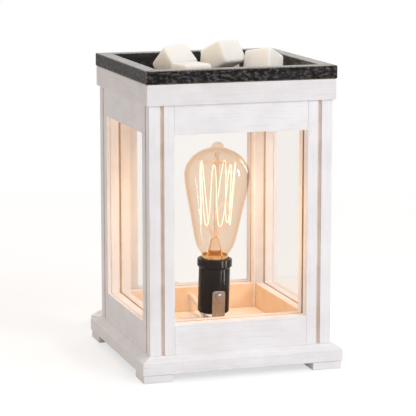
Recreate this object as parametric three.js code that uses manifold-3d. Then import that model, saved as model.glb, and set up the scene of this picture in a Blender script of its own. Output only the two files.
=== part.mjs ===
// Bulb fragrance warmer: a whitewashed wooden lantern with four glass panes, a screw-base filament
// bulb on a bracket, and a black lift-off tray whose dish holds wax melts above the bulb.
// Millimetres, +Z up. The origin lies on the floor under the middle of the lantern; the front is -Y.

import * as THREE from 'three';
import { mergeVertices } from 'three/addons/utils/BufferGeometryUtils.js';
import Module from 'manifold-3d';

const wasm = await Module();
wasm.setup();

// Driving dimensions of the lantern
const bodyHalf = 90;
const footHeight = 7.6;
const footSide = 29;
const footSetback = 1;
const plinthOverhang = 9.5;
const plinthFaceHeight = 11.5;
const plinthBevelRise = 4.6;
const plinthReveal = 0.5;
const frameHeight = 235.7;
const postWidth = 24.5;
const railThickness = 22.5;
const lowerRailHeight = 28.3;
const upperRailHeight = 28;
const grooveSetback = 10.8;
const grooveWidth = 3.6;
const grooveDepth = 2.4;
const edgeEase = 0.6;
const glassThickness = 2;
const glassSetback = 13.5;
const kerfDepth = 4;
const capHeight = 19.7;
const capOverhang = 2.6;
const capThickness = 13;
const rearStripWidth = 11;
const rearStripThickness = 11.5;
const floorThickness = 3.3;

// Driving dimensions of the lift-off tray and its wax melts
const rimHeight = 12.6;
const rimOverhang = 3.2;
const rimWidth = 14;
const rebateDepth = 5.4;
const rebateHeight = 2;
const dishDepth = 22.7;
const dishWall = 1.6;
const dishCornerRadius = 8;
const dishPlay = 0.8;
const meltSide = 31;
const meltTopSide = 28.4;
const meltHeight = 24;
const meltEase = 2.6;
const wedgedMeltLift = 9.6;

// Driving dimensions of the lamp; its heights count from the inside floor
const lampOffset = 0.2;
const lampLeanDegrees = 1.6;
const socketBottom = 14;
const socketRadius = 15.5;
const socketHeight = 54.3;
const collarRadius = 17.2;
const collarHeight = 7.6;
const collarChamfer = 1.5;
const lowerCavityRadius = 12.2;
const lowerCavityHeight = 10;
const webHeight = 15;
const upperBoreRadius = 14.3;
const threadPitch = 3.629;
const threadDepth = 0.9;
const bulbThreadRadius = 13.1;
const threadClearance = 0.45;
const sheetThickness = 0.4;
const bulbCapBottom = 48.6;
const bulbCapTop = 72;
const bulbThreadTop = 62;
const contactRadius = 4.2;
const contactHeight = 1.8;
const insulatorHeight = 3.4;
const bulbRadius = 32.2;
const bulbGlassHeight = 111.3;
const bulbGlassWall = 0.9;
const bulbNeckRadius = 12.2;
const bulbNeckDepth = 6;

// Driving dimensions of the cord and what is on it
const cordDiameter = 4.7;
const leadOffset = -2.5;
const cordBendRadius = 19;
const coilInnerRadius = 18.5;
const coilPitch = 5.15;
const coilTurns = 7.5;
const reliefNoseLength = 26;
const leadJointReach = 9;
const switchLength = 56;
const switchWidth = 25;
const switchHeight = 17;
const plugLength = 36;
const plugWidth = 24;
const plugHeight = 14;

// Clearances between pieces
const seatGap = 0.3;
const kerfClearance = 0.2;
const holeClearance = 0.5;
const overrun = 1;

// Levels and planes that the sizes above give
const plinthBottom = footHeight;
const plinthFaceTop = plinthBottom + plinthFaceHeight;
const plinthTop = plinthFaceTop + plinthBevelRise;
const frameTop = plinthTop + frameHeight;
const capTop = frameTop + capHeight;
const rimTop = capTop + rimHeight;
const sill = plinthTop + lowerRailHeight;
const head = frameTop - upperRailHeight;
const insideFloor = plinthTop + floorThickness;
const postInner = bodyHalf - postWidth;
const railInner = bodyHalf - railThickness;
const plinthHalf = bodyHalf + plinthOverhang;
const capHalf = bodyHalf + capOverhang;
const rimHalf = bodyHalf + rimOverhang;
const dishFloor = rimTop - dishDepth;

// Finishes: colour, roughness and metalness
const finish = (color, roughness, metalness = 0) =>
  new THREE.MeshStandardMaterial({ color, roughness, metalness });
const whitewash = finish('#ebe7e4', 0.62);
const bareWood = finish('#efd3b4', 0.6);
const blackRim = finish('#2b2a2b', 0.5);
const enamel = finish('#1c1b1c', 0.35);
const wax = finish('#f1ece2', 0.45);
const clearGlass = new THREE.MeshStandardMaterial({
  color: '#f4f8f7', roughness: 0.05, metalness: 0, transparent: true, opacity: 0.25
});
const amberGlass = new THREE.MeshStandardMaterial({
  color: '#f0c795', roughness: 0.05, metalness: 0, transparent: true, opacity: 0.35
});
const steel = finish('#b9b2aa', 0.38, 1);
const brass = finish('#c79a5a', 0.32, 1);
const phenolic = finish('#2a211c', 0.35);
const porcelain = finish('#d8d2c8', 0.3);
const tungsten = finish('#ffdca6', 0.6, 1);
const whitePlastic = finish('#eeebe4', 0.45);
const cordSheath = finish('#ece8df', 0.5);

// Solids: a closed geometry becomes a manifold solid and comes back for cutting and joining
function closed(geometry) {
  const bare = geometry.index ? geometry.toNonIndexed() : geometry.clone();
  bare.deleteAttribute('normal');
  bare.deleteAttribute('uv');
  const merged = mergeVertices(bare);
  const kept = [];
  const index = merged.index.array;
  for (let i = 0; i < index.length; i += 3) {
    const [a, b, c] = [index[i], index[i + 1], index[i + 2]];
    if (a !== b && b !== c && c !== a) kept.push(a, b, c);
  }
  merged.setIndex(kept);
  return merged;
}

function toSolid(geometry) {
  const merged = closed(geometry);
  return new wasm.Manifold(new wasm.Mesh({
    numProp: 3,
    vertProperties: new Float32Array(merged.attributes.position.array),
    triVerts: new Uint32Array(merged.index.array)
  }));
}

function toGeometry(solid) {
  const mesh = solid.getMesh();
  const geometry = new THREE.BufferGeometry();
  geometry.setAttribute('position', new THREE.BufferAttribute(mesh.vertProperties.slice(), 3));
  geometry.setIndex(Array.from(mesh.triVerts));
  return geometry;
}

function cut(geometry, ...tools) {
  return toGeometry(tools.reduce((body, tool) => body.subtract(toSolid(tool)), toSolid(geometry)));
}

function join(geometry, ...others) {
  return toGeometry(others.reduce((body, other) => body.add(toSolid(other)), toSolid(geometry)));
}

// Straight pieces: an outline in the plane across an axis, run along that axis
const axisFrames = {
  x: new THREE.Matrix4().makeBasis(
    new THREE.Vector3(0, 1, 0), new THREE.Vector3(0, 0, 1), new THREE.Vector3(1, 0, 0)),
  y: new THREE.Matrix4().makeBasis(
    new THREE.Vector3(0, 0, 1), new THREE.Vector3(1, 0, 0), new THREE.Vector3(0, 1, 0)),
  z: new THREE.Matrix4()
};

function run(shape, axis, from, to, curveSegments = 6) {
  const geometry = new THREE.ExtrudeGeometry(shape, {
    depth: to - from, steps: 1, bevelEnabled: false, curveSegments
  });
  return geometry.translate(0, 0, from).applyMatrix4(axisFrames[axis]);
}

const outline = (points) => new THREE.Shape(points.map(([a, b]) => new THREE.Vector2(a, b)));

const rectangle = (a0, a1, b0, b1) => outline([[a0, b0], [a1, b0], [a1, b1], [a0, b1]]);

const box = (x0, x1, y0, y1, z0, z1) => run(rectangle(x0, x1, y0, y1), 'z', z0, z1);

function roundedRectangle(halfWidth, halfDepth, radius) {
  const shape = new THREE.Shape();
  shape.absarc(halfWidth - radius, halfDepth - radius, radius, 0, Math.PI / 2);
  shape.absarc(radius - halfWidth, halfDepth - radius, radius, Math.PI / 2, Math.PI);
  shape.absarc(radius - halfWidth, radius - halfDepth, radius, Math.PI, 1.5 * Math.PI);
  shape.absarc(halfWidth - radius, radius - halfDepth, radius, 1.5 * Math.PI, 2 * Math.PI);
  return shape;
}

// Turned pieces: a profile of [radius, height] turned about Z
function turned(profile, segments = 24) {
  const points = profile.map(([r, z]) => new THREE.Vector2(r, z));
  return new THREE.LatheGeometry(points, segments).rotateX(Math.PI / 2);
}

const rod = (radius, from, to, segments = 16) =>
  turned([[0, from], [radius, from], [radius, to], [0, to]], segments);

const ring = (inner, outer, from, to, segments = 24) =>
  turned([[inner, from], [outer, from], [outer, to], [inner, to], [inner, from]], segments);

// Lofted pieces: rings of points, each as long as the last, joined in order; the two ends are closed
// unless the last ring is the first one again
function loft(rings) {
  const count = rings[0].length;
  const index = [];
  for (let i = 0; i + 1 < rings.length; i += 1) {
    for (let j = 0; j < count; j += 1) {
      const a = i * count + j;
      const b = i * count + ((j + 1) % count);
      index.push(a, b, b + count, a, b + count, a + count);
    }
  }
  const last = (rings.length - 1) * count;
  if (rings[0] !== rings.at(-1)) {
    for (let j = 1; j + 1 < count; j += 1) {
      index.push(0, j + 1, j);
      index.push(last, last + j, last + j + 1);
    }
  }
  const geometry = new THREE.BufferGeometry();
  geometry.setAttribute('position', new THREE.Float32BufferAttribute(rings.flat(2), 3));
  geometry.setIndex(index);
  return geometry;
}

// Wires and cords: a round section carried along a route of points
class Route extends THREE.Curve {
  constructor(points) {
    super();
    this.points = points;
  }

  getPoint(t) {
    const place = t * (this.points.length - 1);
    const i = Math.min(Math.floor(place), this.points.length - 2);
    return this.points[i].clone().lerp(this.points[i + 1], place - i);
  }

  getPointAt(t) {
    return this.getPoint(t);
  }

  getTangentAt(t) {
    const last = this.points.length - 1;
    const i = Math.round(t * last);
    const before = this.points[Math.max(i - 1, 0)];
    const after = this.points[Math.min(i + 1, last)];
    return after.clone().sub(before).normalize();
  }
}

function tube(points, radius, sides = 8) {
  const section = new THREE.Shape();
  for (let i = 0; i < sides; i += 1) {
    const angle = (2 * Math.PI * (i + 0.5)) / sides;
    const corner = [radius * Math.cos(angle), radius * Math.sin(angle)];
    if (i === 0) section.moveTo(...corner);
    else section.lineTo(...corner);
  }
  return new THREE.ExtrudeGeometry(section, {
    steps: points.length - 1, bevelEnabled: false, extrudePath: new Route(points)
  });
}

const vectors = (points) => points.map((p) => new THREE.Vector3(...p));

// evenly spaced points on one smooth curve, its two ends run straight for a diameter
function smoothRoute(points, step) {
  const curve = new THREE.CatmullRomCurve3(vectors(points), false, 'centripetal');
  return curve.getSpacedPoints(Math.max(4, Math.round(curve.getLength() / step)));
}

const part = new THREE.Group();

function add(parent, name, geometry, material) {
  const mesh = new THREE.Mesh(geometry, material);
  mesh.name = name;
  parent.add(mesh);
  return mesh;
}

const quarterTurns = [0, 1, 2, 3];
const sideNames = ['front', 'right', 'back', 'left'];
const cornerNames = ['front_left', 'front_right', 'back_right', 'back_left'];
const sideGroups = quarterTurns.map((k) => {
  const group = new THREE.Group();
  group.rotation.z = (k * Math.PI) / 2;
  part.add(group);
  return group;
});

// Bracket and its foot screw, which goes down through the floor board into the plinth
const bracketThickness = 1.2;
const bracketWidth = 13;
const bracketTop = 38;
const bracketCornerRadius = 2.6;
const bracketFootLength = 26;
const bracketFootGap = 0.5;
const footScrewRadius = 1.6;
const footScrewHeadRadius = 3.2;
const footScrewHeadHeight = 1.8;
const footScrewDepth = 9;
const footScrewSetback = 13;
const bracketInnerFace = -(socketRadius + seatGap);
const bracketOuterFace = bracketInnerFace - bracketThickness;
const footScrewPlace = bracketOuterFace + footScrewSetback;
const footScrewHole = rod(footScrewRadius + holeClearance, plinthTop - footScrewDepth,
  insideFloor + overrun, 12).translate(lampOffset, footScrewPlace, 0);

// Plinth: one square board with a bevelled upper edge, on four square blocks glued under its corners
function foot() {
  const outer = plinthHalf - footSetback;
  return box(-outer, footSide - outer, -outer, footSide - outer, 0, footHeight);
}
const feet = quarterTurns.map((k) => foot().rotateZ((k * Math.PI) / 2));
function squareRing(half, z) {
  return [[-half, -half, z], [half, -half, z], [half, half, z], [-half, half, z]];
}
const plinthBlank = loft([
  squareRing(plinthHalf, plinthBottom),
  squareRing(plinthHalf, plinthFaceTop),
  squareRing(bodyHalf + plinthReveal, plinthTop)
]);
add(part, 'plinth', cut(join(plinthBlank, ...feet), footScrewHole), whitewash);

// Floor board: the bare board inside the lantern, notched round the posts
const floorHalf = railInner - seatGap;
const floorNotch = postInner - seatGap;
const floorOutline = outline(quarterTurns.flatMap((k) => {
  const corner = [[floorNotch, -floorHalf], [floorNotch, -floorNotch], [floorHalf, -floorNotch]];
  const turns = [([x, y]) => [x, y], ([x, y]) => [-y, x], ([x, y]) => [-x, -y], ([x, y]) => [y, -x]];
  return corner.map(turns[k]);
}));
add(part, 'floor_board', cut(run(floorOutline, 'z', plinthTop, insideFloor), footScrewHole), bareWood);

// Posts: square in section, a groove down both outer faces and a kerf for the glass in both edges
const kerfNear = glassSetback - glassThickness / 2 - kerfClearance;
const kerfFar = glassSetback + glassThickness / 2 + kerfClearance;

function postOutline() {
  // distances from the outer corner, along one face and then mirrored along the other
  const half = [
    [edgeEase, 0],
    [grooveSetback, 0],
    [grooveSetback, grooveDepth],
    [grooveSetback + grooveWidth, grooveDepth],
    [grooveSetback + grooveWidth, 0],
    [postWidth, 0],
    [postWidth, kerfNear],
    [postWidth - kerfDepth, kerfNear],
    [postWidth - kerfDepth, kerfFar],
    [postWidth, kerfFar]
  ];
  const mirrored = half.map(([a, b]) => [b, a]).reverse();
  const points = [...half, [postWidth, postWidth], ...mirrored];
  return outline(points.map(([a, b]) => [a - bodyHalf, b - bodyHalf]));
}

// Rails: between the posts, with a kerf for the glass in the edge that faces the window
function railOutline(low, high, kerfUp) {
  const outer = -bodyHalf;
  const inner = -railInner;
  const edge = kerfUp ? high : low;
  const bottom = kerfUp ? high - kerfDepth : low + kerfDepth;
  const notch = [
    [outer + kerfFar, edge],
    [outer + kerfFar, bottom],
    [outer + kerfNear, bottom],
    [outer + kerfNear, edge]
  ];
  return kerfUp
    ? outline([[outer, low], [inner, low], [inner, high], ...notch, [outer, high]])
    : outline([[outer, low], ...notch.reverse(), [inner, low], [inner, high], [outer, high]]);
}

// the lead passes through the back lower rail, under the pane's kerf
const reliefBarrelRadius = 3.4;
const leadHoleRadius = reliefBarrelRadius + seatGap;
const leadHoleWall = 0.3;
const leadHeight = sill - kerfDepth - leadHoleRadius - leadHoleWall;
const leadHole = rod(leadHoleRadius, railInner - overrun, bodyHalf + overrun, 20)
  .rotateX(-Math.PI / 2)
  .translate(leadOffset, 0, leadHeight);

for (const k of quarterTurns) {
  const group = sideGroups[k];
  add(group, `post_${cornerNames[k]}`, run(postOutline(), 'z', plinthTop, frameTop), whitewash);

  let lowerRail = run(railOutline(plinthTop, sill, true), 'x', -postInner, postInner);
  if (sideNames[k] === 'back') lowerRail = cut(lowerRail, leadHole.clone().rotateZ(-k * Math.PI / 2));
  add(group, `lower_rail_${sideNames[k]}`, lowerRail, whitewash);

  const upperRail = run(railOutline(head, frameTop, false), 'x', -postInner, postInner);
  add(group, `upper_rail_${sideNames[k]}`, upperRail, whitewash);

  // Glass pane: stands in the kerfs of the posts and rails
  const paneHalf = postInner + kerfDepth - seatGap;
  const paneNear = glassSetback - glassThickness / 2 - bodyHalf;
  const pane = box(-paneHalf, paneHalf, paneNear, paneNear + glassThickness,
    sill - kerfDepth + seatGap, head + kerfDepth - seatGap);
  add(group, `glass_${sideNames[k]}`, pane, clearGlass);
}

// Rear window strip: fills the outer part of the back window beside the left post
const rearStrip = box(-postInner, rearStripWidth - postInner,
  bodyHalf - rearStripThickness, bodyHalf, sill, head);
add(part, 'rear_window_strip', rearStrip, whitewash);

// Cap frame: four mitred boards in one square, standing on the posts and upper rails
function squareFrame(outer, inner, from, to) {
  const shape = rectangle(-outer, outer, -outer, outer);
  shape.holes.push(rectangle(-inner, inner, -inner, inner));
  return run(shape, 'z', from, to);
}
const capInner = capHalf - capThickness;
add(part, 'cap_frame', squareFrame(capHalf, capInner, frameTop, capTop), whitewash);

// Tray rim: four mitred boards in one square, rebated underneath for the flange of the dish
const tray = new THREE.Group();
part.add(tray);
const rimInner = rimHalf - rimWidth;

const rimRebate = squareFrame(rimInner + rebateDepth, rimInner - overrun, capTop - overrun,
  capTop + rebateHeight);
add(tray, 'tray_rim', cut(squareFrame(rimHalf, rimInner, capTop, rimTop), rimRebate), blackRim);

// Wax dish: a square steel pan that hangs from the rim by its flange
const dishOuter = capInner - dishPlay;
const flangeHalf = rimInner + rebateDepth - seatGap;
const flangeBottom = capTop + kerfClearance;
const flangeTop = flangeBottom + dishWall;
const dishBody = run(roundedRectangle(dishOuter, dishOuter, dishCornerRadius), 'z',
  dishFloor - dishWall, flangeTop);
const dishFlange = run(roundedRectangle(flangeHalf, flangeHalf, dishCornerRadius), 'z',
  flangeBottom, flangeTop);
const dishHollow = run(
  roundedRectangle(dishOuter - dishWall, dishOuter - dishWall, dishCornerRadius - dishWall),
  'z', dishFloor, flangeTop + overrun);
add(tray, 'wax_dish', cut(join(dishBody, dishFlange), dishHollow), enamel);

// Wax melts: cast cubes with draft and soft edges; five rest on the dish floor, flat or tipped,
// and one is wedged between its neighbours a little above it
function roundedRing(half, radius, z) {
  const points = [];
  for (const k of quarterTurns) {
    for (let i = 0; i <= 3; i += 1) {
      const angle = ((k + i / 3) * Math.PI) / 2;
      const centre = (k * Math.PI) / 2 + Math.PI / 4;
      const reach = (half - radius) * Math.SQRT2;
      points.push([
        reach * Math.cos(centre) + radius * Math.cos(angle),
        reach * Math.sin(centre) + radius * Math.sin(angle), z
      ]);
    }
  }
  return points;
}

function melt() {
  const base = meltSide / 2;
  const top = meltTopSide / 2;
  const softShare = 0.3;
  const soft = meltEase * softShare;
  return loft([
    roundedRing(base - meltEase, meltEase, 0),
    roundedRing(base - soft, meltEase, soft),
    roundedRing(base, meltEase, meltEase),
    roundedRing(top, meltEase, meltHeight - meltEase),
    roundedRing(top - soft, meltEase, meltHeight - soft),
    roundedRing(top - meltEase, meltEase, meltHeight)
  ]).translate(0, 0, -meltHeight / 2);
}

// places as shares of the dish's half width, and turns in degrees
const meltPlaceShares = [
  { share: [-0.461, -0.586], turn: [0, 0, 15], lift: 0 },
  { share: [-0.47, 0.152], turn: [-37.6, -18.2, 13.3], lift: 0 },
  { share: [0.093, -0.066], turn: [-22.6, -13.2, 28.3], lift: wedgedMeltLift },
  { share: [0.598, -0.241], turn: [-23.4, 10.2, 43.7], lift: 0 },
  { share: [-0.255, 0.66], turn: [0, 0, -12], lift: 0 },
  { share: [0.216, 0.389], turn: [0, 0, 14], lift: 0 }
];
const dishInner = dishOuter - dishWall;
meltPlaceShares.forEach(({ share, turn, lift }, i) => {
  const mesh = add(tray, `wax_melt_${i + 1}`, melt(), wax);
  mesh.rotation.set(...turn.map((degrees) => THREE.MathUtils.degToRad(degrees)));
  mesh.updateMatrix();
  const lowest = new THREE.Box3()
    .setFromBufferAttribute(mesh.geometry.clone().applyMatrix4(mesh.matrix).attributes.position).min.z;
  const rest = dishFloor + seatGap + lift;
  mesh.position.set(share[0] * dishInner, share[1] * dishInner, rest - lowest);
});

// Lamp: everything on the bracket leans together, about the bracket's foot
const lamp = new THREE.Group();
lamp.position.set(lampOffset, 0, insideFloor);
lamp.rotation.y = THREE.MathUtils.degToRad(lampLeanDegrees);
part.add(lamp);

// Bracket: an L of steel strap, its leaf against the socket and its foot under it
const sideScrewHeight = 32.6;
const sideScrewRadius = 1.9;
const sideScrewHeadRadius = 3.5;
const sideScrewHeadHeight = 2.3;
const sideScrewLength = 8;

function bracket() {
  const half = bracketWidth / 2;
  const leaf = new THREE.Shape();
  leaf.moveTo(bracketFootGap, -half);
  leaf.lineTo(bracketTop - bracketCornerRadius, -half);
  leaf.absarc(bracketTop - bracketCornerRadius, bracketCornerRadius - half, bracketCornerRadius,
    -Math.PI / 2, 0);
  leaf.absarc(bracketTop - bracketCornerRadius, half - bracketCornerRadius, bracketCornerRadius,
    0, Math.PI / 2);
  leaf.lineTo(bracketFootGap, half);
  const upright = run(leaf, 'y', bracketOuterFace, bracketInnerFace);
  const footPlate = box(-half, half, bracketOuterFace, bracketOuterFace + bracketFootLength,
    bracketFootGap, bracketFootGap + bracketThickness);
  const sideHole = rod(sideScrewRadius + seatGap, bracketOuterFace - overrun, bracketInnerFace + overrun)
    .rotateX(-Math.PI / 2).translate(0, 0, sideScrewHeight);
  const footHole = rod(footScrewRadius + seatGap, 0, bracketFootGap + bracketThickness + overrun, 12)
    .translate(0, footScrewPlace, 0);
  return cut(join(upright, footPlate), sideHole, footHole);
}
add(lamp, 'socket_bracket', bracket(), steel);

// Bracket screws: one pan head into the socket's web, one into the floor
function panScrew(radius, headRadius, headHeight, length) {
  const domeShare = 0.6;
  return turned([
    [0, -length], [radius, -length], [radius, 0], [headRadius, 0],
    [headRadius, headHeight * domeShare], [headRadius * domeShare, headHeight], [0, headHeight]
  ], 16);
}
const sideScrew = panScrew(sideScrewRadius, sideScrewHeadRadius, sideScrewHeadHeight,
  sideScrewLength + bracketThickness)
  .rotateX(Math.PI / 2)
  .translate(0, bracketOuterFace - seatGap, sideScrewHeight);
add(lamp, 'bracket_side_screw', sideScrew, steel);
const footScrewSeat = bracketFootGap + bracketThickness + seatGap;
const footScrew = panScrew(footScrewRadius, footScrewHeadRadius, footScrewHeadHeight,
  footScrewSeat + footScrewDepth).translate(0, footScrewPlace, footScrewSeat);
add(lamp, 'bracket_foot_screw', footScrew, steel);

// Socket body: moulded phenolic, open below for the terminals and above for the screw shell
const webBottom = socketBottom + lowerCavityHeight;
const webTop = webBottom + webHeight;
const socketTop = socketBottom + socketHeight;
const terminalOffset = 7.6;
const terminalRadius = 1.6;
const terminalHeadRadius = 3;
const terminalHeadHeight = 2.2;
const terminalLength = 7;
const rivetRadius = 1.6;
const rivetHeadRadius = 3;
const rivetHeadHeight = 1;
const socketProfile = [
  [lowerCavityRadius, socketBottom],
  [socketRadius - collarChamfer, socketBottom],
  [socketRadius, socketBottom + collarChamfer],
  [socketRadius, socketTop - collarHeight - collarChamfer],
  [collarRadius, socketTop - collarHeight],
  [collarRadius, socketTop - edgeEase],
  [collarRadius - edgeEase, socketTop],
  [upperBoreRadius, socketTop],
  [upperBoreRadius, webTop],
  [0, webTop],
  [0, webBottom],
  [lowerCavityRadius, webBottom],
  [lowerCavityRadius, socketBottom]
];
const sideScrewHole = rod(sideScrewRadius + seatGap, -(socketRadius + overrun),
  seatGap + sideScrewLength + bracketInnerFace, 12)
  .rotateX(-Math.PI / 2).translate(0, 0, sideScrewHeight);
const terminalHoles = [-1, 1].map((side) =>
  rod(terminalRadius + seatGap, webBottom - overrun, webBottom + terminalLength + seatGap, 12)
    .translate(side * terminalOffset, 0, 0));
const rivetHole = rod(rivetRadius + seatGap, webBottom - overrun, webTop + overrun, 12);
add(lamp, 'socket_body',
  cut(turned(socketProfile, 32), sideScrewHole, rivetHole, ...terminalHoles), phenolic);

// Screw shells: sheet brass rolled with a round thread, the socket's outside the bulb's
const threadMean = bulbThreadRadius - threadDepth / 2;
const threadSegments = 24;
const threadSteps = 5;

function rolledSleeve(radiusAt, from, to, steps) {
  const rings = [];
  const ringAt = (z, inset) => {
    const points = [];
    for (let j = 0; j < threadSegments; j += 1) {
      const angle = (2 * Math.PI * j) / threadSegments;
      const r = radiusAt(angle, z) - inset;
      points.push([r * Math.cos(angle), r * Math.sin(angle), z]);
    }
    return points;
  };
  for (let i = 0; i <= steps; i += 1) rings.push(ringAt(from + ((to - from) * i) / steps, 0));
  for (let i = steps; i >= 0; i -= 1) {
    rings.push(ringAt(from + ((to - from) * i) / steps, sheetThickness));
  }
  rings.push(rings[0]);
  return closed(loft(rings));
}

// the thread's wave at an angle and height, right-handed, from -1 at its root to 1 at its crest
const threadWave = (angle, z) => Math.cos(2 * Math.PI * (z / threadPitch) - angle);
const fade = (z, from, to) => THREE.MathUtils.clamp((z - from) / (to - from), 0, 1);

const shellBottom = webTop + seatGap;
const shellTop = socketTop - collarHeight / 2;
const shellThreadTop = bulbThreadTop;
function shellRadius(angle, z) {
  const kept = 1 - fade(z, shellThreadTop - threadPitch, shellThreadTop);
  const wave = threadWave(angle, z) * kept + (1 - kept);
  return threadMean + threadClearance + sheetThickness + (threadDepth / 2) * wave;
}
const shellSteps = Math.round(((shellTop - shellBottom) / threadPitch) * threadSteps);
add(lamp, 'socket_shell', rolledSleeve(shellRadius, shellBottom, shellTop, shellSteps), brass);

// Socket centre contact: a brass rivet through the web with a sprung cup under the bulb
const bulbContactBottom = bulbCapBottom - insulatorHeight - contactHeight;
const centreContact = turned([
  [0, webBottom - seatGap - rivetHeadHeight],
  [rivetHeadRadius, webBottom - seatGap - rivetHeadHeight],
  [rivetHeadRadius, webBottom - seatGap],
  [rivetRadius, webBottom - seatGap],
  [rivetRadius, webTop + seatGap],
  [rivetHeadRadius, webTop + seatGap],
  [rivetHeadRadius, bulbContactBottom - seatGap - rivetHeadHeight],
  [rivetRadius, bulbContactBottom - seatGap],
  [0, bulbContactBottom - seatGap]
], 16);
add(lamp, 'socket_centre_contact', centreContact, brass);

// Terminal screws: from below into the web, where the lead's conductors are clamped
for (const [side, name] of [[-1, 'left'], [1, 'right']]) {
  const terminal = panScrew(terminalRadius, terminalHeadRadius, terminalHeadHeight, terminalLength)
    .rotateX(Math.PI)
    .translate(side * terminalOffset, 0, webBottom - seatGap);
  add(lamp, `terminal_screw_${name}`, terminal, brass);
}

// Bulb: it unscrews as one, its contact keeping to the axis
const bulb = new THREE.Group();
lamp.add(bulb);

function bulbCapRadius(angle, z) {
  const kept = fade(z, bulbCapBottom, bulbCapBottom + threadPitch);
  const plain = fade(z, bulbThreadTop, bulbThreadTop + threadPitch / 2);
  const wave = threadWave(angle, z) * kept - (1 - kept);
  return threadMean + (threadDepth / 2) * (wave * (1 - plain) + plain);
}
const bulbCapSteps = Math.round(((bulbCapTop - bulbCapBottom) / threadPitch) * threadSteps);
add(bulb, 'bulb_cap', rolledSleeve(bulbCapRadius, bulbCapBottom, bulbCapTop, bulbCapSteps), brass);

const insulatorRadius = threadMean - threadDepth / 2 - sheetThickness - seatGap;
const insulator = turned([
  [0, bulbCapBottom - insulatorHeight],
  [contactRadius, bulbCapBottom - insulatorHeight],
  [insulatorRadius, bulbCapBottom],
  [insulatorRadius, bulbCapBottom + threadPitch],
  [0, bulbCapBottom + threadPitch]
], 20);
add(bulb, 'bulb_insulator', insulator, porcelain);

const contact = turned([
  [0, bulbContactBottom],
  [contactRadius / 2, bulbContactBottom],
  [contactRadius, bulbCapBottom - insulatorHeight - seatGap],
  [0, bulbCapBottom - insulatorHeight - seatGap]
], 16);
add(bulb, 'bulb_contact', contact, steel);

// Bulb glass: pear shape with a sealed tip; radius and height shares of the glass above the cap
const glassOuterShares = [
  [0.404, 0], [0.466, 0.025], [0.553, 0.066], [0.606, 0.107], [0.677, 0.19], [0.786, 0.353],
  [0.907, 0.518], [0.978, 0.626], [1, 0.7], [0.984, 0.749], [0.938, 0.791], [0.851, 0.831],
  [0.736, 0.872], [0.54, 0.913], [0.373, 0.934], [0.24, 0.951], [0.2, 0.965], [0.105, 0.99], [0, 1]
];
const glassInnerCount = 14;
const glassProfile = [
  [bulbNeckRadius - bulbGlassWall, bulbCapTop - bulbNeckDepth],
  [bulbNeckRadius, bulbCapTop - bulbNeckDepth],
  [bulbNeckRadius, bulbCapTop + seatGap],
  ...glassOuterShares.map(([r, z]) => [r * bulbRadius, bulbCapTop + seatGap + z * bulbGlassHeight]),
  [0, bulbCapTop + glassOuterShares[glassInnerCount][1] * bulbGlassHeight - bulbGlassWall],
  ...glassOuterShares.slice(0, glassInnerCount).reverse()
    .map(([r, z]) => [r * bulbRadius - bulbGlassWall, bulbCapTop + z * bulbGlassHeight - edgeEase]),
  [bulbNeckRadius - bulbGlassWall, bulbCapTop - 2 * edgeEase],
  [bulbNeckRadius - bulbGlassWall, bulbCapTop - bulbNeckDepth]
];
add(bulb, 'bulb_glass', turned(glassProfile, 28), amberGlass);

// Bulb stem: pressed glass that closes the neck, with a rod up the middle and a button on top
const stemFlareRadius = 10.8;
const stemWaistRadius = 6.6;
const stemPinchRadius = 4.6;
const stemRodRadius = 1.5;
const stemHubRadius = 2.8;
const stemHubHeight = 3;
const stemWaistHeight = 4;
const stemPinchHeight = 14;
const stemShoulderHeight = 16.5;
const stemTipClearance = 2.05;
const stemButtonHeight = 4;
const stemHubDrop = 12;
const glassInnerTop = glassOuterShares[glassInnerCount][1] * bulbGlassHeight - bulbGlassWall;
const stemHeight = glassInnerTop - stemTipClearance;
const stemButtonBottom = stemHeight - stemButtonHeight;
const stemHubBottom = stemHeight - stemHubDrop;
const stemAt = (z) => bulbCapTop + z;
const stemProfile = [
  [0, stemAt(-bulbNeckDepth)],
  [stemFlareRadius, stemAt(-bulbNeckDepth)],
  [stemFlareRadius, stemAt(-bulbNeckDepth) + edgeEase],
  [stemWaistRadius, stemAt(stemWaistHeight)],
  [stemPinchRadius, stemAt(stemPinchHeight)],
  [stemRodRadius, stemAt(stemShoulderHeight)],
  [stemRodRadius, stemAt(stemHubBottom)],
  [stemHubRadius, stemAt(stemHubBottom) + edgeEase],
  [stemHubRadius, stemAt(stemHubBottom) + stemHubHeight],
  [stemRodRadius, stemAt(stemHubBottom) + stemHubHeight + edgeEase],
  [stemRodRadius, stemAt(stemButtonBottom)],
  [stemHubRadius, stemAt(stemButtonBottom) + edgeEase],
  [stemHubRadius, stemAt(stemHeight) - edgeEase],
  [0, stemAt(stemHeight)]
];
add(bulb, 'bulb_stem', turned(stemProfile, 16), clearGlass);

// Filament: one wire in a cage of hairpins, its ends run down on two leads to the stem's pinch
const cageTopRadius = 18;
const cageBottomRadius = 14.5;
const cageTopRise = 2;
const cageTop = stemHubBottom + cageTopRise;
const cageBottom = 31;
const cageBend = 3;
const hairpins = 6;
const filamentRadius = 0.35;
const wireRadius = 0.3;
const hookRingWidth = 0.9;
const hookRingHeight = 1.2;
const cageStart = Math.PI / 2;

function cagePoint(turn, height) {
  const share = (height - cageBottom) / (cageTop - cageBottom);
  const r = cageBottomRadius + (cageTopRadius - cageBottomRadius) * share;
  const angle = cageStart + turn * 2 * Math.PI;
  return new THREE.Vector3(r * Math.cos(angle), r * Math.sin(angle), bulbCapTop + height);
}

// turns of the top hooks and of the bottom bends, spread evenly round the cage
const topTurns = Array.from({ length: hairpins }, (_, i) => (i + 0.75) / (hairpins + 0.5));
const bottomTurns = topTurns.slice(1).map((turn, i) => (turn + topTurns[i]) / 2);
const endTurns = [2 * topTurns[0] - bottomTurns[0], 2 * topTurns.at(-1) - bottomTurns.at(-1)];
const bendTurnShare = 0.14;
const bendTurn = bendTurnShare / hairpins;
const pinchLevel = stemAt(stemPinchHeight);

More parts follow.
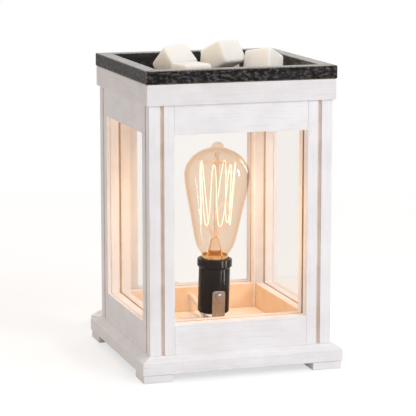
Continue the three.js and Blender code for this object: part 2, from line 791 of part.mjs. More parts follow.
const outwardOf = (tip) => new THREE.Vector3(tip.x, tip.y, 0).normalize();

function filamentRoute() {
  const ends = endTurns.map((turn) => cagePoint(turn, cageBottom));
  const roots = ends.map((tip) =>
    outwardOf(tip).multiplyScalar(stemPinchRadius + seatGap + filamentRadius).setZ(pinchLevel));
  const points = [roots[0], ends[0]];
  topTurns.forEach((turn, i) => {
    points.push(cagePoint(turn - bendTurn / 2, cageTop - cageBend));
    points.push(cagePoint(turn, cageTop));
    points.push(cagePoint(turn + bendTurn / 2, cageTop - cageBend));
    if (i < bottomTurns.length) {
      points.push(cagePoint(bottomTurns[i] - bendTurn, cageBottom + cageBend));
      points.push(cagePoint(bottomTurns[i] - bendTurn / 2, cageBottom + cageBend / 4));
      points.push(cagePoint(bottomTurns[i] + bendTurn / 2, cageBottom + cageBend / 4));
      points.push(cagePoint(bottomTurns[i] + bendTurn, cageBottom + cageBend));
    }
  });
  points.push(ends[1], roots[1]);
  return points;
}
add(bulb, 'bulb_filament', tube(filamentRoute(), filamentRadius, 5), tungsten);

// Hooks: wires that stand out from a ring on the stem and hold the bends of the filament
function hooks(ringRadius, ringLevel, tips, rise) {
  const band = ring(ringRadius, ringRadius + hookRingWidth, ringLevel, ringLevel + hookRingHeight, 16);
  const wires = tips.map((tip) => {
    const outward = outwardOf(tip);
    const reach = Math.hypot(tip.x, tip.y) - filamentRadius - wireRadius - seatGap;
    const start = outward.clone().multiplyScalar(ringRadius + hookRingWidth / 2)
      .setZ(ringLevel + hookRingHeight / 2);
    const end = outward.clone().multiplyScalar(reach).setZ(tip.z);
    const middle = start.clone().lerp(end, 0.5);
    middle.z += rise;
    return tube([start, middle, end], wireRadius, 4);
  });
  return join(band, ...wires);
}
const upperRingLevel = stemAt(stemHubBottom) + stemHubHeight - hookRingHeight;
const upperTips = topTurns.map((turn) => cagePoint(turn, cageTop - cageBend / 2));
add(bulb, 'bulb_upper_hooks',
  hooks(stemHubRadius + seatGap, upperRingLevel, upperTips, cageBend / 2), steel);
const lowerTips = bottomTurns.map((turn) => cagePoint(turn, cageBottom + cageBend));
add(bulb, 'bulb_lower_hooks',
  hooks(stemRodRadius + seatGap, stemAt(stemShoulderHeight) + seatGap, lowerTips, 0), steel);

// Strain relief: a moulded bush in the back rail with a tapered nose outside
const cordRadius = cordDiameter / 2;
const reliefFlangeRadius = 6;
const reliefFlangeThickness = 2;
const reliefNoseRadius = 4.4;
const reliefTipRadius = 3.3;
const reliefBore = cordRadius + seatGap;
const reliefInnerEnd = railInner + overrun;
const reliefTip = bodyHalf + reliefFlangeThickness + reliefNoseLength;
const relief = turned([
  [reliefBore, reliefInnerEnd],
  [reliefBarrelRadius, reliefInnerEnd],
  [reliefBarrelRadius, bodyHalf + seatGap],
  [reliefFlangeRadius, bodyHalf + seatGap],
  [reliefFlangeRadius, bodyHalf + reliefFlangeThickness],
  [reliefNoseRadius, bodyHalf + reliefFlangeThickness + edgeEase],
  [reliefTipRadius, reliefTip],
  [reliefBore, reliefTip],
  [reliefBore, reliefInnerEnd]
], 20);
relief.rotateX(-Math.PI / 2).translate(leadOffset, 0, leadHeight);
add(part, 'strain_relief', relief, whitePlastic);

// Internal lead: the sheathed cord from the strain relief down to the floor behind the socket,
// then its two conductors up to the terminals
const leadSteps = 2.5 * cordDiameter;
const leadRoute = [
  [leadOffset, bodyHalf + leadJointReach, leadHeight], [leadOffset, railInner - overrun, leadHeight],
  [-2.3, 57, 43.2], [-1.6, 46, 39.2], [-0.6, 36, 33.8], [0.2, 28, 30.6], [0.6, 21, 29.9]
];
const conductorRadius = 1.1;
const conductorRoutes = [
  [[-0.5, 22.5, 30], [-0.7, 20.4, 30.2], [-3, 14.6, 30.8], [-5.6, 10.8, 32.6], [-6.7, 7.4, 36.6],
    [-6.9, 5.2, 42], [-6.9, 4.8, 47.4]],
  [[1.7, 22.5, 30], [1.9, 20.4, 30.2], [4.6, 14.6, 30.8], [7.2, 10.8, 32.6], [8.2, 7.4, 36.6],
    [8.4, 5.2, 42], [8.4, 4.8, 47.4]]
];
const sheath = tube(smoothRoute(leadRoute, leadSteps), cordRadius, 8);
const conductors = conductorRoutes.map((route) =>
  tube(smoothRoute(route, leadSteps / 2), conductorRadius, 6));
add(part, 'internal_lead', join(sheath, ...conductors), cordSheath);

// Cord from inside the strain relief to the switch: two quarter bends, first down and then along the
// back
const firstBendStart = reliefTip + seatGap + cordDiameter;
const switchAxisHeight = leadHeight - 2 * cordBendRadius;
const switchLine = firstBendStart + cordBendRadius;
const switchStart = leadOffset + cordBendRadius + cordDiameter;

function quarterBends() {
  const points = [
    [leadOffset, bodyHalf + leadJointReach + seatGap, leadHeight],
    [leadOffset, reliefTip, leadHeight]
  ];
  const steps = 4;
  for (let i = 0; i <= steps; i += 1) {
    const angle = (i / steps) * (Math.PI / 2);
    points.push([leadOffset, firstBendStart + cordBendRadius * Math.sin(angle),
      leadHeight - cordBendRadius * (1 - Math.cos(angle))]);
  }
  for (let i = 1; i <= steps; i += 1) {
    const angle = (i / steps) * (Math.PI / 2);
    points.push([leadOffset + cordBendRadius * (1 - Math.cos(angle)), switchLine,
      leadHeight - cordBendRadius - cordBendRadius * Math.sin(angle)]);
  }
  points.push([switchStart - seatGap, switchLine, switchAxisHeight]);
  return vectors(points);
}
add(part, 'cord_lead', tube(quarterBends(), cordRadius, 8), cordSheath);

// Switch: a two-part housing with a rocker on trunnions, lying on the floor behind the plinth
const switchWall = 1.6;
const switchEndWidth = 9;
const switchShoulder = 13;
const rockerLength = 18.6;
const rockerWidth = 12;
const rockerPivotHeight = 12;
const rockerTopHeight = 18.4;
const rockerDip = 1;
const rockerTiltDegrees = 8;
const trunnionRadius = 1.2;
const trunnionLength = 1.8;
const uprightThickness = 1.6;
const uprightWidth = 5;
const switchScrewOffset = 18;
const switchScrewRadius = 1.2;
const switchScrewHeadRadius = 2.4;
const switchScrewHeadHeight = 1.4;
const switchScrewLength = 9;
const switchBossRadius = 3;
const switchGroup = new THREE.Group();
switchGroup.position.set(switchStart + switchLength / 2, switchLine, 0);
part.add(switchGroup);

function switchOutline(inset) {
  const end = switchLength / 2 - inset;
  const shoulder = end - switchShoulder + inset;
  const wide = switchWidth / 2 - inset;
  const narrow = switchEndWidth / 2 - inset;
  return outline([
    [-end, -narrow], [-shoulder, -wide], [shoulder, -wide], [end, -narrow],
    [end, narrow], [shoulder, wide], [-shoulder, wide], [-end, narrow]
  ]);
}
const uprightNear = rockerWidth / 2 + seatGap;
const switchScrewPlaces = [-switchScrewOffset, switchScrewOffset];
const baseShell = cut(
  run(switchOutline(0), 'z', 0, switchAxisHeight),
  run(switchOutline(switchWall), 'z', switchWall, switchAxisHeight + overrun)
);
const uprights = [-1, 1].map((side) => {
  const near = side > 0 ? uprightNear : -uprightNear - uprightThickness;
  return box(-uprightWidth / 2, uprightWidth / 2, near, near + uprightThickness,
    switchWall / 2, rockerPivotHeight);
});
const baseBosses = switchScrewPlaces.map((x) =>
  rod(switchBossRadius, switchWall / 2, switchAxisHeight, 12).translate(x, 0, 0));
const screwWays = switchScrewPlaces.flatMap((x) => [
  rod(switchScrewRadius + seatGap, -overrun, switchAxisHeight + overrun, 12).translate(x, 0, 0),
  rod(switchScrewHeadRadius + seatGap, -overrun, switchScrewHeadHeight + seatGap, 12)
    .translate(x, 0, 0)
]);
const trunnionWay = rod(trunnionRadius + seatGap, -rockerWidth, rockerWidth, 12)
  .rotateX(-Math.PI / 2).translate(0, 0, rockerPivotHeight);
add(switchGroup, 'switch_base',
  cut(join(baseShell, ...uprights, ...baseBosses), ...screwWays, trunnionWay), whitePlastic);

const coverShell = cut(
  run(switchOutline(0), 'z', switchAxisHeight, switchHeight),
  run(switchOutline(switchWall), 'z', switchAxisHeight - overrun, switchHeight - switchWall)
);
const coverBosses = switchScrewPlaces.map((x) =>
  rod(switchBossRadius, switchAxisHeight + seatGap, switchHeight - switchWall / 2, 12)
    .translate(x, 0, 0));
const windowHalf = rockerLength / 2 + 2 * holeClearance;
const rockerWindow = box(-windowHalf, windowHalf, -rockerWidth / 2 - holeClearance,
  rockerWidth / 2 + holeClearance, switchHeight - switchWall - overrun, switchHeight + overrun);
const coverScrewWays = switchScrewPlaces.map((x) =>
  rod(switchScrewRadius + seatGap, switchAxisHeight - overrun,
    switchScrewHeadHeight + switchScrewLength + holeClearance, 12).translate(x, 0, 0));
add(switchGroup, 'switch_cover',
  cut(join(coverShell, ...coverBosses), rockerWindow, ...coverScrewWays), whitePlastic);

switchScrewPlaces.forEach((x, i) => {
  const headPiece = rod(switchScrewHeadRadius, seatGap, switchScrewHeadHeight, 12);
  const shank = rod(switchScrewRadius, switchScrewHeadHeight / 2,
    switchScrewHeadHeight + switchScrewLength, 12);
  add(switchGroup, `switch_screw_${i + 1}`, join(headPiece, shank).translate(x, 0, 0), steel);
});

// Rocker: shown pressed at its near end, turning the other way to switch over
function rockerBody() {
  const half = rockerLength / 2;
  const top = rockerTopHeight - rockerPivotHeight;
  const skirt = (rockerTopHeight - switchHeight) + switchWall;
  const body = run(outline([
    [top, -half], [top - rockerDip, 0], [top, half], [top - skirt, half],
    [-trunnionRadius * 2, half / 2], [-trunnionRadius * 2, -half / 2], [top - skirt, -half]
  ].map(([z, x]) => [z, x])), 'y', -rockerWidth / 2, rockerWidth / 2);
  const reach = rockerWidth / 2 + trunnionLength;
  return join(body, rod(trunnionRadius, -reach, reach, 12).rotateX(-Math.PI / 2));
}
const rocker = add(switchGroup, 'switch_rocker', rockerBody(), whitePlastic);
rocker.position.z = rockerPivotHeight;
rocker.rotation.y = -THREE.MathUtils.degToRad(rockerTiltDegrees);

// Switch contact: a brass bridge on the base, under the rocker
const contactLength = 22;
const contactWidth = 7;
const contactThickness = 0.8;
add(switchGroup, 'switch_contact', box(-contactLength / 2, contactLength / 2,
  -contactWidth / 2, contactWidth / 2, switchWall + seatGap,
  switchWall + seatGap + contactThickness), brass);

// Coil: the spare cord in two piled layers, wound in and out again, behind the plinth
const coilOuterRadius = coilInnerRadius + (coilTurns / 2) * coilPitch;
const coilTieThickness = 0.6;
const coilFloor = coilTieThickness + seatGap + cordRadius;
const coilCentreX = -46;
const returnLine = switchLine + 2 * cordBendRadius;
const coilCentreY = returnLine - coilOuterRadius;
const coilStepsPerTurn = 24;

function coilPoint(turn) {
  const middle = coilTurns / 2;
  const r = coilInnerRadius + coilPitch * Math.abs(middle - turn);
  const climb = THREE.MathUtils.smoothstep(turn, middle - 0.25, middle + 0.25);
  const angle = Math.PI / 2 + turn * 2 * Math.PI;
  return new THREE.Vector3(coilCentreX + r * Math.cos(angle), coilCentreY + r * Math.sin(angle),
    coilFloor + coilPitch * climb);
}

function coilRoute() {
  const count = Math.round(coilTurns * coilStepsPerTurn);
  const points = Array.from({ length: count + 1 }, (_, i) => coilPoint((i / count) * coilTurns));
  const ahead = points[0].clone().add(new THREE.Vector3(cordDiameter, 0, 0));
  const behind = points.at(-1).clone().add(new THREE.Vector3(cordDiameter, 0, 0));
  return [ahead, ...points, behind];
}
const coil = coilRoute();
add(part, 'cord_coil', tube(coil, cordRadius, 6), cordSheath);

// the least gap between turns of the coil, from points more than half a turn apart
function leastGap(points, apart, diameter) {
  let least = Infinity;
  for (let i = 0; i < points.length; i += 1) {
    for (let j = i + apart; j < points.length; j += 1) {
      least = Math.min(least, points[i].distanceTo(points[j]));
    }
  }
  return least - diameter;
}
const coilGap = leastGap(coil, coilStepsPerTurn / 2, cordDiameter);
console.log(`least gap of the coil to itself: ${coilGap.toFixed(2)} mm`);

// Cord from the switch round to the coil
const switchEnd = switchStart + switchLength;
const coilEntry = coil[0];
const turnSteps = 8;
function switchToCoil() {
  const bendStart = switchEnd + seatGap + cordDiameter;
  const points = [[switchEnd + seatGap, switchLine, switchAxisHeight]];
  for (let i = 0; i <= turnSteps; i += 1) {
    const angle = (i / turnSteps) * Math.PI;
    const drop = THREE.MathUtils.smoothstep(i, 0, turnSteps);
    points.push([bendStart + cordBendRadius * Math.sin(angle),
      switchLine + cordBendRadius * (1 - Math.cos(angle)),
      switchAxisHeight + (cordRadius - switchAxisHeight) * drop]);
  }
  const along = (share) => bendStart + (coilEntry.x - bendStart) * share;
  const alongShares = [0.12, 0.24, 0.36, 0.48, 0.6, 0.72];
  for (const share of alongShares) points.push([along(share), returnLine, cordRadius]);
  const riseShare = 0.86;
  points.push([along(riseShare), returnLine, (cordRadius + coilEntry.z) / 2]);
  points.push([coilEntry.x + cordDiameter, returnLine, coilEntry.z]);
  points.push([coilEntry.x + seatGap, returnLine, coilEntry.z]);
  return vectors(points);
}
add(part, 'cord_to_coil', tube(switchToCoil(), cordRadius, 8), cordSheath);

// Coil tie: a flat band round all the turns of the coil
const tieWidth = 9;
const tieInner = coilInnerRadius - cordRadius - seatGap;
const tieOuter = coilOuterRadius + cordRadius + seatGap;
const tieTop = coilFloor + coilPitch + cordRadius + seatGap;
const tieBand = cut(
  run(rectangle(-tieOuter - coilTieThickness, coilTieThickness - tieInner, 0, tieTop + coilTieThickness)
    , 'z', 0, tieWidth),
  run(rectangle(-tieOuter, -tieInner, coilTieThickness, tieTop), 'z', -overrun, tieWidth + overrun)
);
tieBand.rotateX(Math.PI / 2).translate(coilCentreX, coilCentreY + tieWidth / 2, 0);
add(part, 'coil_tie', tieBand, whitePlastic);

// Cord from the coil to the plug
const coilExit = coil.at(-1);
const plugAxisHeight = plugHeight / 2;
const plugStart = 20;
const plugShift = 9.5;
const plugLine = coilExit.y + plugShift;
const plugRoute = vectors([
  [coilExit.x + seatGap, coilExit.y, coilExit.z],
  [coilExit.x + cordDiameter, coilExit.y, coilExit.z],
  [-29, coilExit.y + 0.4, 6.6], [-20, coilExit.y + 1.7, 4.2], [-11, coilExit.y + 3.8, 2.9],
  [-2, coilExit.y + 6.6, 3.4], [6, coilExit.y + 8.6, 5.2], [11, coilExit.y + 9.3, 6.6],
  [plugStart - cordDiameter, plugLine, plugAxisHeight],
  [plugStart - seatGap, plugLine, plugAxisHeight]
]);
add(part, 'cord_to_plug', tube(plugRoute, cordRadius, 8), cordSheath);

// Plug: a moulded body that widens from the cord to its face, with two flat blades
const plugCordEnd = 9;
const plugGripShare = 0.45;
const bladeHeight = 6.35;
const bladeThickness = 1.5;
const bladeSpacing = 12.7;
const bladeReach = 17;
const bladeRoot = 8;
const plugGroup = new THREE.Group();
plugGroup.position.set(plugStart, plugLine, plugAxisHeight);
part.add(plugGroup);

function plugRing(width, height, x) {
  const cornerShare = 0.3;
  const c = Math.min(width, height) * cornerShare;
  const [w, h] = [width / 2, height / 2];
  return [[-w + c, -h], [w - c, -h], [w, -h + c], [w, h - c], [w - c, h], [-w + c, h],
    [-w, h - c], [-w, -h + c]].map(([y, z]) => [x, y, z]);
}
const bladeBoxes = (growth, from, to) => [-1, 1].map((side) => {
  const middle = (side * bladeSpacing) / 2;
  const reach = bladeThickness / 2 + growth;
  return box(from, to, middle - reach, middle + reach,
    -bladeHeight / 2 - growth, bladeHeight / 2 + growth);
});
const plugBlank = loft([
  plugRing(plugCordEnd, plugCordEnd, 0),
  plugRing(plugCordEnd + 2 * edgeEase, plugCordEnd + edgeEase, plugLength * plugGripShare / 2),
  plugRing(plugWidth, plugHeight, plugLength * plugGripShare),
  plugRing(plugWidth, plugHeight, plugLength)
]);
const bladePockets = bladeBoxes(seatGap, plugLength - bladeRoot - seatGap, plugLength + overrun);
add(plugGroup, 'plug_body', cut(plugBlank, ...bladePockets), whitePlastic);
bladeBoxes(0, plugLength - bladeRoot, plugLength + bladeReach).forEach((blade, i) => {
  add(plugGroup, `plug_blade_${i + 1}`, blade, brass);
});

export default part;
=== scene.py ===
# Bulb fragrance warmer: a whitewashed wooden lantern with four glass panes and a filament bulb,
# a black lift-off tray of wax melts on top, and a mains cord with a rocker switch behind it.
# Metres, +Z up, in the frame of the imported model; the front is -Y.
import math

import bmesh
import bpy
from mathutils import Matrix, Vector


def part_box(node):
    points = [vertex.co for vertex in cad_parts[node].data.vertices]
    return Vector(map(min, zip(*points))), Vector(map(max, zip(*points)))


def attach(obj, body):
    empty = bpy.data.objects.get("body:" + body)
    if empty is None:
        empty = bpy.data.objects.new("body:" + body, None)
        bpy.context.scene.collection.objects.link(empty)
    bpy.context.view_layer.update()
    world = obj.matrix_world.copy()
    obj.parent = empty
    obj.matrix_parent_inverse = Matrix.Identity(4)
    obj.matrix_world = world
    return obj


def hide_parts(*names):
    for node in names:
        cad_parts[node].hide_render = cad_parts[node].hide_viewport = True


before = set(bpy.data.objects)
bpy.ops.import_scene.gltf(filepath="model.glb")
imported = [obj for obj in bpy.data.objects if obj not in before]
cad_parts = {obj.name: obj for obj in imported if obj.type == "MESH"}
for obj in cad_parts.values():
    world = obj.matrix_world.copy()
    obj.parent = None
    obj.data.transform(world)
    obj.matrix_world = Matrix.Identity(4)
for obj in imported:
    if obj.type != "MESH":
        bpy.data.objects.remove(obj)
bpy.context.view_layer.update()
mm = 0.001

# Camera: a long lens two metres off, a little above the tray, turned to show the front and the
# left side, as the photograph does.
camera_data = bpy.data.cameras.new("camera")
camera_data.lens = 169.76
camera = bpy.data.objects.new("camera", camera_data)
camera.location = (-0.5748, -1.8056, 0.4789)
camera.rotation_euler = (math.radians(80.01), 0, math.radians(-17.52))
bpy.context.scene.collection.objects.link(camera)
bpy.context.scene.camera = camera
bpy.context.scene.view_settings.view_transform = "Standard"


# Studio: a white sweep of seamless paper under soft light. The paper looks white to the eye and to
# gloss and glass, and keeps the shadow that the warmer throws.
def linear(hex_colour):
    """The linear colour that a shader takes for an sRGB hex value."""
    channels = [int(hex_colour[i:i + 2], 16) / 255 for i in (1, 3, 5)]
    return [c / 12.92 if c <= 0.04045 else ((c + 0.055) / 1.055) ** 2.4 for c in channels] + [1]


def node(tree, kind, sockets=(), **settings):
    """Adds a shader node, sets its settings, and fills its sockets with values or links."""
    made = tree.nodes.new("ShaderNode" + kind)
    for key, value in settings.items():
        setattr(made, key, value)
    for key, value in dict(sockets).items():
        named = [s for s in made.inputs if s.identifier == key] or [made.inputs[key]]
        if isinstance(value, bpy.types.Node):
            value = next(s for s in value.outputs if s.enabled)
        if isinstance(value, bpy.types.NodeSocket):
            tree.links.new(value, named[0])
        else:
            named[0].default_value = value
    return made


def material(name):
    """A new material, its node tree and, from that, the place on the object."""
    made = bpy.data.materials.new(name)
    made.use_nodes = True
    made.node_tree.nodes.clear()
    return made, made.node_tree, node(made.node_tree, "TexCoord").outputs["Object"]


def seen_directly(tree):
    """1 for what the camera, a reflection or a view through glass meets, else 0."""
    path = node(tree, "LightPath")
    clear = node(tree, "Math", {"Value": path.outputs["Is Glossy Ray"],
                 "Value_001": path.outputs["Is Transmission Ray"]}, operation="MAXIMUM")
    return node(tree, "Math", {"Value": path.outputs["Is Camera Ray"],
                "Value_001": clear}, operation="MAXIMUM")


room_light = 0.57
world = bpy.data.worlds.new("white room")
bpy.context.scene.world = world
world.use_nodes = True
world.node_tree.nodes.clear()
seen = seen_directly(world.node_tree)
strength = node(world.node_tree, "MapRange", {"Value": seen, "To Min": room_light,
                "To Max": 1.0})
walls = node(world.node_tree, "Mix", {"Factor_Float": seen, "A_Color": linear("#fff4ea"),
             "B_Color": linear("#ffffff")}, data_type="RGBA")
sky = node(world.node_tree, "Background", {"Color": walls, "Strength": strength})
node(world.node_tree, "OutputWorld", {"Surface": sky})

paper, tree, place = material("white seamless paper")
paper_glow = 0.62
paper_shade = 0.46
shadow_reach = 0.4
sweep_start = 1.1
seen = seen_directly(tree)
reach = node(tree, "VectorMath", {"Vector": place}, operation="LENGTH").outputs["Value"]
away = node(tree, "MapRange", {"Value": reach, "From Min": shadow_reach,
            "From Max": sweep_start})
own_glow = node(tree, "MapRange", {"Value": away, "To Min": paper_glow, "To Max": 1.0})
glow = node(tree, "Math", {"Value": seen, "Value_001": own_glow}, operation="MULTIPLY")
shade = node(tree, "MapRange", {"Value": away, "To Min": paper_shade, "To Max": 0.0})
lit = node(tree, "Mix", {"Factor_Float": seen, "A_Color": linear("#e6e6e6"),
           "B_Color": shade}, data_type="RGBA")
sheet = node(tree, "AddShader", {
    "Shader": node(tree, "BsdfDiffuse", {"Color": lit}),
    "Shader_001": node(tree, "Emission", {"Color": linear("#ffffff"), "Strength": glow})})
node(tree, "OutputMaterial", {"Surface": sheet})
paper_level = -0.1 * mm
bpy.ops.mesh.primitive_plane_add(size=8, location=(0, 0, paper_level))
floor = bpy.context.object
floor.name = "floor"
floor.data.materials.append(paper)


def softbox(name, place, aim, size, power, colour):
    """A square area lamp at a place, facing a point."""
    lamp = bpy.data.lights.new(name, "AREA")
    lamp.size = size
    lamp.energy = power
    lamp.color = linear(colour)[:3]
    box = bpy.data.objects.new(name, lamp)
    box.location = place
    box.rotation_euler = (Vector(aim) - Vector(place)).to_track_quat("-Z", "Y").to_euler()
    bpy.context.scene.collection.objects.link(box)
    return box


softbox("key light", (1.1, -1.9, 1.5), (0, 0, 0.15), 1.4, 31.5, "#ebf4ff")
softbox("top light", (0.2, 0.3, 2.2), (0, 0, 0.2), 1.6, 9, "#ffffff")


# Plinth: one square pine board with a bevelled upper edge, white-washed after it was cut, so that
# the wash has worn off its arrises, standing on four square blocks glued under its corners.
def alone(piece):
    """Makes one object the selected and the active one."""
    bpy.ops.object.select_all(action="DESELECT")
    piece.select_set(True)
    bpy.context.view_layer.objects.active = piece


def settle(piece):
    """Puts a piece's place, turn and scale into its mesh."""
    alone(piece)
    bpy.ops.object.transform_apply(location=True, rotation=True, scale=True)


def added(name, operator, materials, scale=(1, 1, 1), **sizes):
    """Adds a primitive at its size and place, with its materials and the place in its mesh."""
    bpy.ops.object.select_all(action="DESELECT")
    operator(**sizes)
    piece = bpy.context.object
    piece.name = piece.data.name = name
    piece.scale = scale
    settle(piece)
    for finish in materials:
        piece.data.materials.append(finish)
    return piece


def block(name, low, high, *materials):
    """A box between two corners."""
    low, high = Vector(low), Vector(high)
    return added(name, bpy.ops.mesh.primitive_cube_add, materials, high - low,
                 size=1, location=(low + high) / 2)


def edit(piece, faces=None, edges=None):
    """Opens a piece in edit mode with the faces or edges that a test picks selected, or all."""
    alone(piece)
    bpy.ops.object.mode_set(mode="EDIT")
    bpy.ops.mesh.select_mode(type="EDGE" if edges else "FACE")
    bpy.ops.mesh.select_all(action="DESELECT")
    mesh = bmesh.from_edit_mesh(piece.data)
    for part in mesh.edges if edges else mesh.faces:
        if (edges or faces or bool)(part):
            part.select_set(True)
    bmesh.update_edit_mesh(piece.data)


def close():
    """Leaves edit mode."""
    bpy.ops.object.mode_set(mode="OBJECT")


def finished(piece, index, picks):
    """Gives the faces that a test picks the material at an index."""
    edit(piece, faces=picks)
    piece.active_material_index = index
    bpy.ops.object.material_slot_assign()
    close()


def applied(piece, kind, **settings):
    """Adds a modifier, sets it and applies it."""
    alone(piece)
    bpy.ops.object.modifier_add(type=kind)
    modifier = piece.modifiers[-1]
    for key, value in settings.items():
        setattr(modifier, key, value)
    bpy.ops.object.modifier_apply(modifier=modifier.name)


def bevelled(piece, radius, segments, picks, **settings):
    """Rounds the edges that a test picks."""
    edit(piece, edges=picks)
    bpy.ops.mesh.bevel(offset=radius, segments=segments, affect="EDGES", **settings)
    close()


def smoothed(piece, sharp):
    """Shades a piece smooth, but for the edges that turn by more than sharp degrees."""
    alone(piece)
    bpy.ops.object.shade_smooth_by_angle(angle=math.radians(sharp))


def eased(piece, radius, segments=2, finish=-1, sharp=35, only=None):
    """Rounds a piece's sharp edges, gives the new faces a material, and evens its shading."""
    bevelled(piece, radius, segments, lambda e: len(e.link_faces) == 2
             and e.calc_face_angle(0) > math.radians(sharp) and (only is None or only(e)),
             material=finish, clamp_overlap=True)
    smoothed(piece, sharp)
    applied(piece, "WEIGHTED_NORMAL", keep_sharp=True)


def copied(piece, name):
    """A copy with its own mesh and no marks."""
    copy = piece.copy()
    copy.data = piece.data.copy()
    for mark in list(copy.keys()):
        del copy[mark]
    copy.name = copy.data.name = name
    bpy.context.scene.collection.objects.link(copy)
    return copy


def quarter(piece, name, turns):
    """The piece itself, or a copy moved round the lantern's middle by quarter turns."""
    if not turns:
        return piece
    copy = copied(piece, name)
    copy.rotation_euler.z = turns * math.pi / 2
    settle(copy)
    return copy


def fitted(piece, body, slot, *nodes):
    """Says which body a piece rides and hides the CAD nodes it stands for. The slot is not used."""
    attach(piece, body)
    if nodes:
        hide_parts(*nodes)


def surface(name, grains, base, layers, rough, skin, axis="z", sockets=()):
    """A finish over a base colour. Grains are noises: mm across and along the axis, detail, and
    at will roughness and distortion. A layer's colour rises to its share between two levels of
    its grain. Rough is a grain and two limits, skin a grain, a strength and a height in mm."""
    made, tree, place = material(name)
    noises = {}
    for key, (across, along, detail, *more) in grains.items():
        scale = [1 / (across * mm)] * 3
        scale["xyz".index(axis)] = 1 / (along * mm)
        noises[key] = node(tree, "TexNoise", {
            "Vector": node(tree, "Mapping", {"Vector": place, "Scale": scale}), "Scale": 1.0,
            "Detail": detail, **dict(zip(("Roughness", "Distortion"), more))})
    colour = linear(base)
    for grain, start, end, share, tint in layers:
        mask = node(tree, "MapRange", {"Value": noises[grain], "From Min": start, "From Max": end,
                    "To Max": share})
        colour = node(tree, "Mix", {"Factor_Float": mask, "A_Color": colour,
                      "B_Color": linear(tint)}, data_type="RGBA")
    grain, least, most = rough
    roughness = node(tree, "MapRange", {"Value": noises[grain], "To Min": least, "To Max": most})
    grain, strength, height = skin
    ridges = node(tree, "Bump", {"Height": noises[grain], "Strength": strength,
                  "Distance": height * mm})
    shader = node(tree, "BsdfPrincipled", {"Base Color": colour, "Roughness": roughness,
                  "Normal": ridges, **dict(sockets)})
    node(tree, "OutputMaterial", {"Surface": shader})
    return made


def whitewashed(name, axis, bare, wash="#f6f5f7", thin="#efedee"):
    """White wash brushed thin over pine: matt, with the grain ridged through it along one axis.
    A share of bare wood shows where the wash is rubbed off. Real pine fibre is finer than the
    1.5 mm here; it is drawn so that it shows."""
    grains = {"fibres": (1.5, 55, 3, 0.6), "clouds": (26, 26, 3), "pores": (0.9, 9, 1),
              "rubs": (5, 15, 4, 0.7)}
    layers = (("clouds", 0.35, 0.65, 1, wash), ("fibres", 0.5, 0.78, 0.4, "#dad4cf"),
              ("pores", 0.7, 0.76, 0.3, "#a99a8d"),
              ("rubs", 0.78 - bare / 2, 0.9 - bare / 2, min(1, 0.35 + bare), "#9d7f66"))
    return surface(name, grains, thin, layers, ("fibres", 0.52, 0.74), ("fibres", 0.35, 0.25), axis)


def grained(make, name, axes, *values):
    """One finish for each axis that the grain of a board runs along."""
    return {axis: make(f"{name}, grain along {axis}", axis, *values) for axis in axes}


washed = grained(whitewashed, "whitewashed pine", "xyz", 0.0)
rubbed = grained(whitewashed, "whitewashed pine rubbed at the arris", "xyz", 0.24)

plinth_low, plinth_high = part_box("plinth")
foot_height = 7.6 * mm
foot_side = 29 * mm
foot_setback = 1 * mm
glue_line = 0.1 * mm
plinth_face = 11.5 * mm
body_half = -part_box("post_front_left")[0].x
plinth_reveal = 0.5 * mm
face_top = plinth_low.z + foot_height + plinth_face
plinth = block("plinth_board", (plinth_low.x, plinth_low.y, plinth_low.z + foot_height),
               (plinth_high.x, plinth_high.y, face_top), washed["x"], rubbed["x"])
edit(plinth, faces=lambda f: f.normal.z > 0.9)
bevel_rise = (0, 0, plinth_high.z - face_top)
bpy.ops.mesh.extrude_region_move(TRANSFORM_OT_translate={"value": bevel_rise})
shrink = (body_half + plinth_reveal) / plinth_high.x
bpy.ops.transform.resize(value=(shrink, shrink, 1), center_override=(0, 0, plinth_high.z))
close()
eased(plinth, 0.7 * mm, finish=1, sharp=20)
fitted(plinth, "lantern", "whitewashed_wood", "plinth")

foot_low = plinth_low + Vector((foot_setback, foot_setback, 0))
foot_size = Vector((foot_side, foot_side, foot_height - glue_line))
foot = block("foot_front_left", foot_low, foot_low + foot_size, washed["x"], rubbed["x"])
eased(foot, 0.7 * mm, finish=1)
corners = ("front_left", "front_right", "back_right", "back_left")
for turns, corner in enumerate(corners):
    fitted(quarter(foot, f"foot_{corner}", turns), "lantern", "whitewashed_wood", "plinth")


# Floor board: a thin pine board let in round the posts, with only a thin wash, so that the bulb
# lights it warm.
def outline(name, low, high, cuts_x, cuts_y, keeps, *materials):
    """A flat outline at the height of low: a plane cut along lines, less the cells not kept."""
    low, high = Vector(low), Vector(high)
    size = high - low
    piece = added(name, bpy.ops.mesh.primitive_plane_add, materials, (size.x, size.y, 1),
                  size=1, location=((low.x + high.x) / 2, (low.y + high.y) / 2, low.z))
    edit(piece)
    for normal, cuts in (((1, 0, 0), cuts_x), ((0, 1, 0), cuts_y)):
        for cut in cuts:
            bpy.ops.mesh.select_all(action="SELECT")
            bpy.ops.mesh.bisect(plane_co=Vector(normal) * cut, plane_no=normal)
    close()
    edit(piece, faces=lambda f: not keeps(f.calc_center_median()))
    bpy.ops.mesh.delete(type="FACE")
    bpy.ops.mesh.select_all(action="SELECT")
    bpy.ops.mesh.dissolve_limited(angle_limit=math.radians(1))
    bpy.ops.mesh.extrude_region_move(TRANSFORM_OT_translate={"value": (0, 0, size.z)})
    bpy.ops.mesh.select_all(action="SELECT")
    bpy.ops.mesh.normals_make_consistent(inside=False)
    close()
    return piece


floor_wash = whitewashed("washed pine of the floor board", "x", 0.0, "#fdfbf8", "#f8f3ec")
board_low, board_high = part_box("floor_board")
post_inner = -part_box("post_front_left")[1].x
notch_gap = 0.3 * mm
notch = post_inner - notch_gap
floor_board = outline("floor_board_pine", board_low, board_high, (-notch, notch), (-notch, notch),
                      lambda c: abs(c.x) < notch or abs(c.y) < notch, floor_wash, rubbed["x"])
eased(floor_board, 0.4 * mm, finish=0)
fitted(floor_board, "lantern", "bare_wood", "floor_board")

